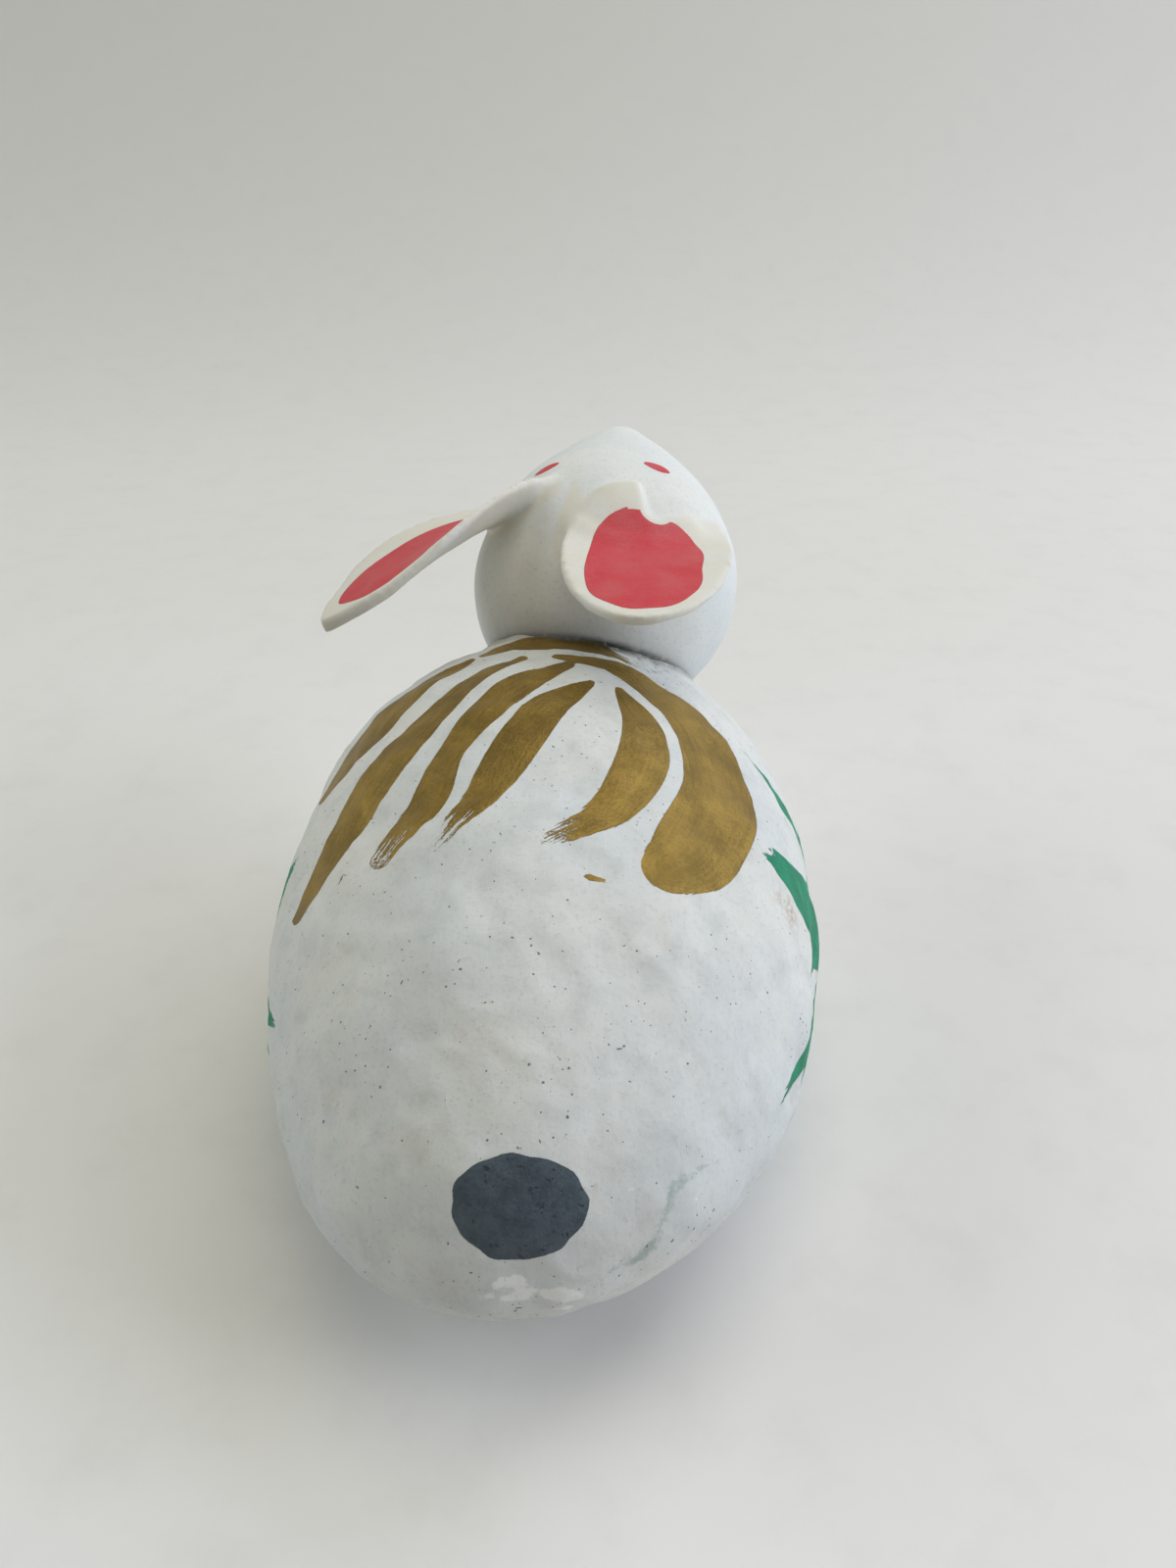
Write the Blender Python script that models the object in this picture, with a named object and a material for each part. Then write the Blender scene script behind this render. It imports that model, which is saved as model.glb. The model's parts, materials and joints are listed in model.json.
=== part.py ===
"""Papier-mache rabbit: an egg-shaped body with a flat underside and a head set in its neck opening.

Units are metres, +Z is up and the rabbit faces +Y. The origin is on the flat underside, below the
body's widest section. Paint is left to the finish: only the moulded form is modelled here.
"""

import math

import bmesh
import bpy
from mathutils import Matrix, Vector

# Body: a lying egg, blunt in front, with its underside cut flat
BODY_WIDTH = 0.088
BODY_FRONT = 0.043
BODY_REAR = 0.088
BODY_HEIGHT = 0.0685
WIDEST_LEVEL = 0.027
BASE_CUT = 0.005
BODY_TAPER = 0.14

# Head: a smaller egg with its snout lifted, turned a little to the rabbit's right
HEAD_WIDTH = 0.050
HEAD_HEIGHT = 0.043
SNOUT_LENGTH = 0.039
NAPE_LENGTH = 0.027
SNOUT_TAPER = 0.54
HEAD_ASIDE = 0.008
HEAD_FORWARD_SHARE = 0.86
HEAD_ABOVE_CROWN = -0.0005
HEAD_TURN = math.radians(4.5)
HEAD_LIFT = math.radians(30.0)
HEAD_LEAN = math.radians(-3.0)

# Cheeks and muzzle, as shares of the head's own size: how much they swell, where and how far
CHEEK_SWELL = 0.05
CHEEK_PLACE_SHARES = (0.45, -0.35)
CHEEK_SPREAD_SHARES = (0.3, 0.4)
NOSE_SWELL = 0.02
NOSE_PLACE_SHARE = 0.97
NOSE_SPREAD_SHARE = 0.10

# Neck opening: the head sits in it on a thin clearance, with a wider gap at the mouth
SEAT_GAP = 0.0007
MOUTH_GAP = 0.0030
LIP_RISE = 0.0008
LIP_WIDTH = 0.0032

# Ears: thin paddles, hollowed on the painted face
EAR_EDGE = 0.0013
EAR_MIDDLE = 0.0030
EAR_ROOT_SHARE = 0.60
EAR_WIDEST_SHARE = 0.52
EAR_CUP_START_SHARE = 0.2
RIGHT_EAR_LENGTH = 0.0555
RIGHT_EAR_WIDTH = 0.0290
LEFT_EAR_LENGTH = 0.0510
LEFT_EAR_WIDTH = 0.0290

# Pose of each ear: root in shares of the head's half sizes, then how far the blade swings out,
# hangs down, rolls, twists at its root and arches
RIGHT_EAR_ROOT = (0.38, 0.23, 0.70)
RIGHT_EAR_SWING = math.radians(3.5)
RIGHT_EAR_DROOP = math.radians(3.0)
RIGHT_EAR_ROLL = math.radians(0.0)
RIGHT_EAR_TWIST = math.radians(-34.0)
RIGHT_EAR_ARCH = 0.0
RIGHT_EAR_CUP = 0.0014
LEFT_EAR_ROOT = (-0.50, 0.10, 0.745)
LEFT_EAR_SWING = math.radians(43.0)
LEFT_EAR_DROOP = math.radians(11.5)
LEFT_EAR_ROLL = math.radians(17.0)
LEFT_EAR_TWIST = math.radians(18.0)
LEFT_EAR_ARCH = 0.0010
LEFT_EAR_CUP = 0.0034

# Fineness of the faceted surfaces
BODY_STEPS = 64
BODY_RINGS = 26
SOCKET_RINGS = 7
HEAD_STEPS = 44
HEAD_RINGS = 26
EAR_STATIONS = 16
EAR_SECTION_STEPS = 8
MERGE_DISTANCE = 1e-6

# Lip profile: share of its width from the mouth outwards, and share of its rise there
LIP_PROFILE = ((0.0, 0.45), (0.22, 1.0), (0.5, 0.62), (0.8, 0.14), (1.0, 0.0))


def clear_scene():
    """Remove whatever the scene holds."""
    for item in list(bpy.data.objects):
        bpy.data.objects.remove(item, do_unlink=True)


def paper_material(name, colour, roughness):
    """Painted paper: one plain Principled BSDF."""
    material = bpy.data.materials.new(name)
    material.use_nodes = True
    shader = material.node_tree.nodes["Principled BSDF"]
    shader.inputs["Base Color"].default_value = (*colour, 1.0)
    shader.inputs["Roughness"].default_value = roughness
    shader.inputs["Metallic"].default_value = 0.0
    return material


def add_object(name, mesh, material):
    """Link a finished mesh to the scene as one named object."""
    item = bpy.data.objects.new(name, mesh)
    item.data.materials.append(material)
    bpy.context.collection.objects.link(item)
    mesh.shade_smooth()
    mesh.set_sharp_from_angle(angle=math.radians(40.0))
    return item


def body_centre():
    """Middle of the body's widest section."""
    return Vector((0.0, 0.0, WIDEST_LEVEL))


def body_point(s):
    """Point of the body's egg for a unit direction s."""
    reach = BODY_FRONT if s.y > 0.0 else BODY_REAR
    rise = BODY_HEIGHT - WIDEST_LEVEL if s.z > 0.0 else WIDEST_LEVEL + BASE_CUT
    half_width = BODY_WIDTH / 2.0 * (1.0 - BODY_TAPER * s.y)
    return body_centre() + Vector((half_width * s.x, reach * s.y, rise * s.z))


def head_centre():
    """Middle of the head's widest section, set from the body's own front and crown."""
    return Vector((HEAD_ASIDE, BODY_FRONT * HEAD_FORWARD_SHARE, BODY_HEIGHT + HEAD_ABOVE_CROWN))


def head_rotation():
    """Turn to the rabbit's right, then lift of the snout, then lean of the crown."""
    turn = Matrix.Rotation(-HEAD_TURN, 3, "Z")
    lift = Matrix.Rotation(HEAD_LIFT, 3, "X")
    lean = Matrix.Rotation(HEAD_LEAN, 3, "Y")
    return turn @ lift @ lean


def head_local(s, grow=0.0):
    """Point of the head's egg in its own frame, its half sizes enlarged by grow."""
    reach = (SNOUT_LENGTH if s.y > 0.0 else NAPE_LENGTH) + grow
    slim = 1.0 - SNOUT_TAPER * max(s.y, 0.0) ** 2
    half_width = (HEAD_WIDTH / 2.0 + grow) * slim
    half_height = (HEAD_HEIGHT / 2.0 + grow) * slim
    return Vector((half_width * s.x, reach * s.y, half_height * s.z))


def head_direction(local, grow=0.0):
    """Direction, of any length, whose head_local is the given point when its length is one."""
    v = local.y / ((SNOUT_LENGTH if local.y > 0.0 else NAPE_LENGTH) + grow)
    slim = max(1.0 - SNOUT_TAPER * max(min(v, 1.0), 0.0) ** 2, 0.05)
    u = local.x / ((HEAD_WIDTH / 2.0 + grow) * slim)
    w = local.z / ((HEAD_HEIGHT / 2.0 + grow) * slim)
    return Vector((u, v, w))


def neck_axis():
    """Unit vector from the body's middle to the head's."""
    return (head_centre() - body_centre()).normalized()


def socket_centre():
    """Centre of the enlarged head that forms the neck opening, moved out so that its floor is near."""
    return head_centre() + neck_axis() * (MOUTH_GAP - SEAT_GAP)


def in_socket(point):
    """True where a point lies inside the neck opening."""
    local = head_rotation().transposed() @ (point - socket_centre())
    return head_direction(local, MOUTH_GAP).length < 1.0


def neck_frame():
    """Three unit vectors: the neck's axis and two across it."""
    axis = neck_axis()
    across = axis.cross(Vector((0.0, 0.0, 1.0))).normalized()
    return axis, across, axis.cross(across)


def around_neck(polar, turn, frame):
    """Unit direction at an angle from the neck's axis, turned round it."""
    axis, across, up = frame
    return axis * math.cos(polar) + (across * math.cos(turn) + up * math.sin(turn)) * math.sin(polar)


def mouth_angle(turn, frame):
    """Angle from the neck's axis at which the body's skin meets the neck opening."""
    inner, outer = 0.05, math.pi / 2.0
    for _ in range(40):
        middle = (inner + outer) / 2.0
        if in_socket(body_point(around_neck(middle, turn, frame))):
            inner = middle
        else:
            outer = middle
    return outer


def outward(s):
    """Rough outward normal of the body's egg at direction s."""
    reach = BODY_FRONT if s.y > 0.0 else BODY_REAR
    rise = BODY_HEIGHT - WIDEST_LEVEL if s.z > 0.0 else WIDEST_LEVEL + BASE_CUT
    return Vector((s.x / (BODY_WIDTH / 2.0), s.y / reach, s.z / rise)).normalized()


def lip_column(turn, frame, edge):
    """Points of the raised lip, from the mouth outwards, and the angle where it ends."""
    scale = 2.0 / BODY_WIDTH
    column = []
    for share, height in LIP_PROFILE:
        s = around_neck(edge + LIP_WIDTH * share * scale, turn, frame)
        column.append(body_point(s) + outward(s) * LIP_RISE * height)
    return column, edge + LIP_WIDTH * scale


def socket_column(mouth, floor):
    """Points down the wall of the neck opening, from just under the mouth to just above the floor."""
    rotation = head_rotation()
    start = head_direction(rotation.transposed() @ (mouth - socket_centre()), MOUTH_GAP).normalized()
    column = []
    for ring in range(1, SOCKET_RINGS):
        s = start.slerp(floor, ring / SOCKET_RINGS)
        column.append(socket_centre() + rotation @ head_local(s, MOUTH_GAP))
    return column


def make_body(material):
    """The body: outer skin, lip and neck opening in one closed mesh, cut flat below."""
    frame = neck_frame()
    rotation = head_rotation()
    floor = head_direction(rotation.transposed() @ -frame[0]).normalized()
    mesh = bmesh.new()
    columns = []
    for step in range(BODY_STEPS):
        turn = 2.0 * math.pi * step / BODY_STEPS
        edge = mouth_angle(turn, frame)
        lip, lip_end = lip_column(turn, frame, edge)
        wall = socket_column(body_point(around_neck(edge, turn, frame)), floor)
        skin = []
        for ring in range(1, BODY_RINGS):
            polar = lip_end + (math.pi - lip_end) * ring / BODY_RINGS
            skin.append(body_point(around_neck(polar, turn, frame)))
        columns.append([mesh.verts.new(p) for p in reversed(wall)] + [mesh.verts.new(p) for p in lip + skin])
    floor_vertex = mesh.verts.new(socket_centre() + rotation @ head_local(floor, MOUTH_GAP))
    last_vertex = mesh.verts.new(body_point(-frame[0]))
    for step, column in enumerate(columns):
        following = columns[(step + 1) % BODY_STEPS]
        mesh.faces.new((floor_vertex, following[0], column[0]))
        for ring in range(len(column) - 1):
            mesh.faces.new((column[ring], following[ring], following[ring + 1], column[ring + 1]))
        mesh.faces.new((column[-1], following[-1], last_vertex))
    cut_flat(mesh)
    return finish_mesh("body", mesh, material)


def cut_flat(mesh):
    """Cut the mesh at the standing plane and close it with one flat face."""
    everything = mesh.verts[:] + mesh.edges[:] + mesh.faces[:]
    bmesh.ops.bisect_plane(
        mesh, geom=everything, plane_co=(0.0, 0.0, 0.0), plane_no=(0.0, 0.0, -1.0), clear_outer=True
    )
    bmesh.ops.remove_doubles(mesh, verts=mesh.verts[:], dist=MERGE_DISTANCE)
    bmesh.ops.contextual_create(mesh, geom=[edge for edge in mesh.edges if edge.is_boundary])


def finish_mesh(name, mesh, material):
    """Point the faces outwards and turn the bmesh into an object."""
    bmesh.ops.recalc_face_normals(mesh, faces=mesh.faces[:])
    data = bpy.data.meshes.new(name)
    mesh.to_mesh(data)
    mesh.free()
    return add_object(name, data, material)


def head_surface(s):
    """Point of the finished head: the egg with soft cheeks and a small muzzle."""
    point = head_local(s)
    forward = (s.y - CHEEK_PLACE_SHARES[0]) / CHEEK_SPREAD_SHARES[0]
    upward = (s.z - CHEEK_PLACE_SHARES[1]) / CHEEK_SPREAD_SHARES[1]
    cheeks = math.exp(-forward ** 2 - upward ** 2) * abs(s.x)
    nose = math.exp(-((s.y - NOSE_PLACE_SHARE) / NOSE_SPREAD_SHARE) ** 2)
    swell = 1.0 + CHEEK_SWELL * cheeks
    point = Vector((point.x * swell, point.y * (1.0 + NOSE_SWELL * nose), point.z * swell))
    return head_centre() + head_rotation() @ point


def head_egg():
    """The head without its ears, as a closed bmesh with poles at the nape and the nose."""
    mesh = bmesh.new()
    rings = []
    for ring in range(1, HEAD_RINGS):
        polar = math.pi * ring / HEAD_RINGS
        loop = []
        for step in range(HEAD_STEPS):
            turn = 2.0 * math.pi * step / HEAD_STEPS
            s = Vector((math.sin(polar) * math.cos(turn), math.cos(polar), math.sin(polar) * math.sin(turn)))
            loop.append(mesh.verts.new(head_surface(s)))
        rings.append(loop)
    nose = mesh.verts.new(head_surface(Vector((0.0, 1.0, 0.0))))
    nape = mesh.verts.new(head_surface(Vector((0.0, -1.0, 0.0))))
    for step in range(HEAD_STEPS):
        following = (step + 1) % HEAD_STEPS
        mesh.faces.new((nose, rings[0][step], rings[0][following]))
        for near, far in zip(rings, rings[1:]):
            mesh.faces.new((near[step], far[step], far[following], near[following]))
        mesh.faces.new((rings[-1][following], rings[-1][step], nape))
    return mesh


def ear_half_width(share, width):
    """Half width of an ear at a share of its length, 0 at the root and 1 at the tip."""
    if share <= EAR_WIDEST_SHARE:
        grown = math.sin(math.pi / 2.0 * share / EAR_WIDEST_SHARE)
        return width / 2.0 * (EAR_ROOT_SHARE + (1.0 - EAR_ROOT_SHARE) * grown)
    past = (share - EAR_WIDEST_SHARE) / (1.0 - EAR_WIDEST_SHARE)
    return width / 2.0 * math.sqrt(max(1.0 - past ** 2, 0.0))


def ear_share(station):
    """Share of the ear's length at a station: close together towards the round tip."""
    return math.sin(math.pi / 2.0 * station / EAR_STATIONS)


def ear_section(middle, across, up, half, width, share, cup):
    """Loop of points round one cross-section: the hollow face, then the rounded back."""
    front, back = [], []
    for step in range(EAR_SECTION_STEPS + 1):
        x = math.cos(math.pi * step / EAR_SECTION_STEPS)
        lift = cup * x * x * math.sin(math.pi * min(share + EAR_CUP_START_SHARE, 1.0))
        thick = EAR_EDGE + (EAR_MIDDLE - EAR_EDGE) * (1.0 - x * x) * half / (width / 2.0)
        place = middle + across * half * x + up * lift
        front.append(place)
        back.append(place - up * thick)
    return front + back[::-1]


def ear_mesh(root, along, normal, length, width, twist, arch, cup):
    """A closed paddle from root, with its hollow face on the normal's side."""
    mesh = bmesh.new()
    side = along.cross(normal).normalized()
    loops = []
    for station in range(EAR_STATIONS):
        share = ear_share(station)
        turned = Matrix.Rotation(twist * (1.0 - share) ** 2, 3, along)
        middle = root + along * length * share + normal * arch * math.sin(math.pi * share)
        half = ear_half_width(share, width)
        section = ear_section(middle, turned @ side, turned @ normal, half, width, share, cup)
        loops.append([mesh.verts.new(point) for point in section])
    tip_front = mesh.verts.new(root + along * length)
    tip_back = mesh.verts.new(root + along * length - normal * EAR_EDGE)
    for near, far in zip(loops, loops[1:]):
        for step in range(len(near)):
            following = (step + 1) % len(near)
            mesh.faces.new((near[step], near[following], far[following], far[step]))
    mesh.faces.new(loops[0][::-1])
    last, steps = loops[-1], EAR_SECTION_STEPS
    for step in range(steps):
        mesh.faces.new((last[step], last[step + 1], tip_front))
        mesh.faces.new((last[steps + 1 + step], last[steps + 2 + step], tip_back))
    mesh.faces.new((last[steps], last[steps + 1], tip_back, tip_front))
    mesh.faces.new((last[-1], last[0], tip_front, tip_back))
    return mesh


def heading(swing, droop):
    """Unit vector pointing back, swung out to the rabbit's left and let down."""
    flat = math.cos(droop)
    return Vector((-math.sin(swing) * flat, -math.cos(swing) * flat, -math.sin(droop)))


def plate_normal(along, roll):
    """Upward normal of a plate that lies along a direction, rolled about it."""
    level = Vector((0.0, 0.0, 1.0))
    upright = (level - along * level.dot(along)).normalized()
    return Matrix.Rotation(roll, 3, along) @ upright


def ear_root(shares):
    """Point inside the head where an ear starts, from shares of the head's half sizes."""
    x, y, z = shares
    return head_centre() + Vector((x * HEAD_WIDTH / 2.0, y * SNOUT_LENGTH, z * HEAD_HEIGHT / 2.0))


def make_ear(name, mesh, material):
    """An ear as an object that a union joins to the head."""
    item = finish_mesh(name, mesh, material)
    item.hide_render = True
    item.display_type = "WIRE"
    return item


def right_ear(material):
    """The ear that lies straight back, its hollow face up."""
    along = heading(RIGHT_EAR_SWING, RIGHT_EAR_DROOP)
    mesh = ear_mesh(ear_root(RIGHT_EAR_ROOT), along, plate_normal(along, RIGHT_EAR_ROLL),
                    RIGHT_EAR_LENGTH, RIGHT_EAR_WIDTH, RIGHT_EAR_TWIST, RIGHT_EAR_ARCH, RIGHT_EAR_CUP)
    return make_ear("right_ear", mesh, material)


def left_ear(material):
    """The ear that swings out to the left, almost edge on from behind."""
    along = heading(LEFT_EAR_SWING, LEFT_EAR_DROOP)
    mesh = ear_mesh(ear_root(LEFT_EAR_ROOT), along, plate_normal(along, LEFT_EAR_ROLL),
                    LEFT_EAR_LENGTH, LEFT_EAR_WIDTH, LEFT_EAR_TWIST, LEFT_EAR_ARCH, LEFT_EAR_CUP)
    return make_ear("left_ear", mesh, material)


def make_head(material):
    """The head with both ears joined to it in one solid."""
    head = finish_mesh("head", head_egg(), material)
    for ear in (right_ear(material), left_ear(material)):
        union = head.modifiers.new("join_" + ear.name, "BOOLEAN")
        union.operation = "UNION"
        union.solver = "EXACT"
        union.object = ear
    return head


def main():
    """Build the rabbit."""
    clear_scene()
    make_body(paper_material("white_body", (0.80, 0.80, 0.77), 0.72))
    make_head(paper_material("white_head", (0.82, 0.81, 0.77), 0.70))


main()
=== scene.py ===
"""Looks of a hand-painted papier-mache rabbit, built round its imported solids.

The body and the head are remade as fine meshes on the same eggs as the solids, with the soft lumps of
pasted paper. The paint is brushed on by strokes laid out in millimetres on flat charts: each vertex keeps
how far inside a stroke it lies, and the materials turn that into crisp, ragged or dry edges.
"""

from __future__ import annotations

import json
import logging
import math
from dataclasses import dataclass, fields
from enum import Enum

import bmesh
import bpy
import numpy as np
from mathutils import Matrix, Vector

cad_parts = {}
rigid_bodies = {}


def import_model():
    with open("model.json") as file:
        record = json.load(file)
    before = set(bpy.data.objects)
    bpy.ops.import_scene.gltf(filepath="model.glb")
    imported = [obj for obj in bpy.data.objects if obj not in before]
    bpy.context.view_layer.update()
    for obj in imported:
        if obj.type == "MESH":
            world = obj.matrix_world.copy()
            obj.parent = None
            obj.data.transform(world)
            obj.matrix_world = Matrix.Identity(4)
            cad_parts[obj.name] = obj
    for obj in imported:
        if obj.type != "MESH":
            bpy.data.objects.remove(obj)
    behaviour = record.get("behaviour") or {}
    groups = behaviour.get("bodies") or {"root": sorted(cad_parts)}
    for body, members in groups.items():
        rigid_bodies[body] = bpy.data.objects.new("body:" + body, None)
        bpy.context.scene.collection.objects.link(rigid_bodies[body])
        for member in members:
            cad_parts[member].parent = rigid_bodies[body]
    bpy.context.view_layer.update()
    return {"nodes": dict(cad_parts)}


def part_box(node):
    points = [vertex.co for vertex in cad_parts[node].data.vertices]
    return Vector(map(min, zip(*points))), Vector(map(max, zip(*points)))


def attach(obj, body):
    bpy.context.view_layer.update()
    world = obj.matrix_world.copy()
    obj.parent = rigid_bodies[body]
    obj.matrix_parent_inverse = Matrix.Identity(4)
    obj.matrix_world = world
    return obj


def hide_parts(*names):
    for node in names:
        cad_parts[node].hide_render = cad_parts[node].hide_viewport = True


LOG = logging.getLogger("rabbit")
MM = 0.001
FAR_OUTSIDE = -9.0
STROKE_VALUES = ("inside", "along", "across", "dry")
STREAK_SHIFT = 37.0

Triple = tuple[float, float, float]
Colour = tuple[float, float, float, float]


class Paint(Enum):
    """Coats of paint, each named after the vertex values it is stored in."""

    GOLD = "gold"
    GREEN = "green"
    SLATE = "slate"
    RED = "red"


def unit(vector: np.ndarray) -> np.ndarray:
    """Scale rows to length one."""
    return vector / np.maximum(np.linalg.norm(vector, axis=-1, keepdims=True), 1e-12)


def smooth_step(low: float, high: float, value: np.ndarray) -> np.ndarray:
    """Rise softly from 0 at low to 1 at high."""
    share = np.clip((value - low) / (high - low), 0.0, 1.0)
    return share * share * (3.0 - 2.0 * share)


def uneven_edge(angle: np.ndarray, waves: tuple[Triple, ...]) -> np.ndarray:
    """Make a hand-cut edge at angles round a shape, from waves of a depth, a count and a start."""
    return sum(depth * np.sin(count * angle + start) for depth, count, start in waves)


def store_value(mesh: bpy.types.Mesh, name: str, value: np.ndarray) -> None:
    """Write one value per vertex to a mesh."""
    held = mesh.attributes.new(name, "FLOAT", "POINT")
    held.data.foreach_set("value", value.astype(np.float32))


@dataclass(frozen=True)
class BodyEgg:
    """The lying egg of the body, with its underside pressed flat."""

    width: float
    front: float
    rear: float
    height: float
    level: float = 0.027
    base_cut: float = 0.005
    taper: float = 0.14
    heel_radius: float = 0.0010
    heel_fade: float = 0.01

    @classmethod
    def from_frame(cls, low: Vector, high: Vector) -> "BodyEgg":
        """Size the egg from the solid's box.

        Args:
            low: Lowest corner of the body's box.
            high: Highest corner of the body's box.

        Returns:
            The egg that fills that box.
        """
        swell = 1.0 + cls.taper ** 2 / 2.0
        return cls((high.x - low.x) / swell, high.y, -low.y, high.z)

    @property
    def centre(self) -> np.ndarray:
        """Middle of the widest section."""
        return np.array([0.0, 0.0, self.level])

    def reaches(self, s: np.ndarray) -> tuple[np.ndarray, np.ndarray]:
        """Give the half length and half height that hold in each direction.

        Args:
            s: Unit directions, one per row.

        Returns:
            Half lengths and half heights.
        """
        reach = np.where(s[:, 1] > 0.0, self.front, self.rear)
        rise = np.where(s[:, 2] > 0.0, self.height - self.level, self.level + self.base_cut)
        return reach, rise

    def points(self, s: np.ndarray) -> np.ndarray:
        """Place unit directions on the egg's skin, before the underside is pressed flat.

        Args:
            s: Unit directions, one per row.

        Returns:
            World points.
        """
        reach, rise = self.reaches(s)
        half_width = self.width / 2.0 * (1.0 - self.taper * s[:, 1])
        return self.centre + np.stack([half_width * s[:, 0], reach * s[:, 1], rise * s[:, 2]], axis=1)

    def outward(self, s: np.ndarray) -> np.ndarray:
        """Give rough outward normals at unit directions."""
        reach, rise = self.reaches(s)
        return unit(np.stack([s[:, 0] / (self.width / 2.0), s[:, 1] / reach, s[:, 2] / rise], axis=1))

    def height_above(self, points: np.ndarray) -> np.ndarray:
        """Give roughly how far world points stand off the egg's skin.

        Args:
            points: World points, one per row.

        Returns:
            Heights in metres, below zero inside the egg.
        """
        offset = points - self.centre
        reach, rise = self.reaches(offset)
        forward = offset[:, 1] / reach
        half_width = self.width / 2.0 * (1.0 - self.taper * forward)
        share = np.sqrt((offset[:, 0] / half_width) ** 2 + forward ** 2 + (offset[:, 2] / rise) ** 2)
        return (share - 1.0) * self.width / 2.0

    def press_flat(self, points: np.ndarray) -> np.ndarray:
        """Press what lies below the standing plane flat, with a soft heel round it.

        Args:
            points: World points, one per row.

        Returns:
            The pressed points.
        """
        pressed = points.copy()
        z = points[:, 2]
        soft = 0.5 * (z + np.sqrt(z * z + self.heel_radius ** 2))
        lowest = 0.5 * (-self.base_cut + math.sqrt(self.base_cut ** 2 + self.heel_radius ** 2))
        pressed[:, 2] = np.maximum(soft - lowest * np.exp(-np.maximum(z, 0.0) / self.heel_fade), 0.0)
        return pressed


@dataclass(frozen=True)
class HeadEgg:
    """The smaller egg of the head, with its snout lifted.

    Places and spreads of the cheeks are forward and up, as shares of the half sizes.
    """

    centre: np.ndarray
    width: float = 0.050
    height: float = 0.043
    snout: float = 0.039
    nape: float = 0.027
    snout_taper: float = 0.54
    turn: float = math.radians(4.5)
    lift: float = math.radians(30.0)
    lean: float = math.radians(-3.0)
    cheek_swell: float = 0.05
    cheek_place: tuple[float, float] = (0.45, -0.35)
    cheek_spread: tuple[float, float] = (0.3, 0.4)
    nose_swell: float = 0.02
    nose_place: float = 0.97
    nose_spread: float = 0.10

    @classmethod
    def on_body(cls, body: BodyEgg, aside: float = 0.008, forward_share: float = 0.86,
                sink: float = 0.0005) -> "HeadEgg":
        """Seat the head over the front of the body."""
        return cls(centre=np.array([aside, body.front * forward_share, body.height - sink]))

    @property
    def rotation(self) -> np.ndarray:
        """Turn, then lift, then lean the head's own frame.

        Returns:
            The rotation from that frame to the world.
        """
        turn = Matrix.Rotation(-self.turn, 3, "Z")
        lift = Matrix.Rotation(self.lift, 3, "X")
        lean = Matrix.Rotation(self.lean, 3, "Y")
        return np.array(turn @ lift @ lean)

    def corner(self, across: float, forward: float, up: float) -> np.ndarray:
        """Give the world point at shares of the half sizes, along the world's own axes."""
        half = np.array([self.width / 2.0, self.snout, self.height / 2.0])
        return self.centre + half * (across, forward, up)

    def local(self, s: np.ndarray, grow: float = 0.0) -> np.ndarray:
        """Place unit directions on the egg in the head's own frame.

        Args:
            s: Unit directions, one per row.
            grow: Length added to every half size.

        Returns:
            Points in the head's own frame.
        """
        reach = np.where(s[:, 1] > 0.0, self.snout, self.nape) + grow
        slim = 1.0 - self.snout_taper * np.maximum(s[:, 1], 0.0) ** 2
        half_width = (self.width / 2.0 + grow) * slim
        half_height = (self.height / 2.0 + grow) * slim
        return np.stack([half_width * s[:, 0], reach * s[:, 1], half_height * s[:, 2]], axis=1)

    def direction(self, local: np.ndarray, grow: float = 0.0) -> np.ndarray:
        """Undo local().

        Args:
            local: Points in the head's own frame, one per row.
            grow: Length added to every half size.

        Returns:
            Rows of length one where a point lies on the egg, and shorter ones inside it.
        """
        v = local[:, 1] / (np.where(local[:, 1] > 0.0, self.snout, self.nape) + grow)
        slim = np.maximum(1.0 - self.snout_taper * np.clip(v, 0.0, 1.0) ** 2, 0.05)
        u = local[:, 0] / ((self.width / 2.0 + grow) * slim)
        w = local[:, 2] / ((self.height / 2.0 + grow) * slim)
        return np.stack([u, v, w], axis=1)

    def to_local(self, points: np.ndarray) -> np.ndarray:
        """Bring world points into the head's own frame."""
        return (points - self.centre) @ self.rotation

    def to_world(self, local: np.ndarray) -> np.ndarray:
        """Bring points of the head's own frame into the world."""
        return self.centre + local @ self.rotation.T

    def skin(self, s: np.ndarray) -> np.ndarray:
        """Place unit directions on the finished head, with soft cheeks and a small muzzle.

        Args:
            s: Unit directions, one per row.

        Returns:
            World points.
        """
        forward = (s[:, 1] - self.cheek_place[0]) / self.cheek_spread[0]
        upward = (s[:, 2] - self.cheek_place[1]) / self.cheek_spread[1]
        cheeks = np.exp(-forward ** 2 - upward ** 2) * np.abs(s[:, 0])
        nose = np.exp(-((s[:, 1] - self.nose_place) / self.nose_spread) ** 2)
        swell = 1.0 + self.cheek_swell * cheeks
        shaped = self.local(s) * np.stack([swell, 1.0 + self.nose_swell * nose, swell], axis=1)
        return self.to_world(shaped)

    def distance(self, points: np.ndarray) -> np.ndarray:
        """Give the rough distance of world points from the head's skin."""
        return np.abs(np.linalg.norm(self.direction(self.to_local(points)), axis=1) - 1.0) * self.height / 2.0


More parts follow.
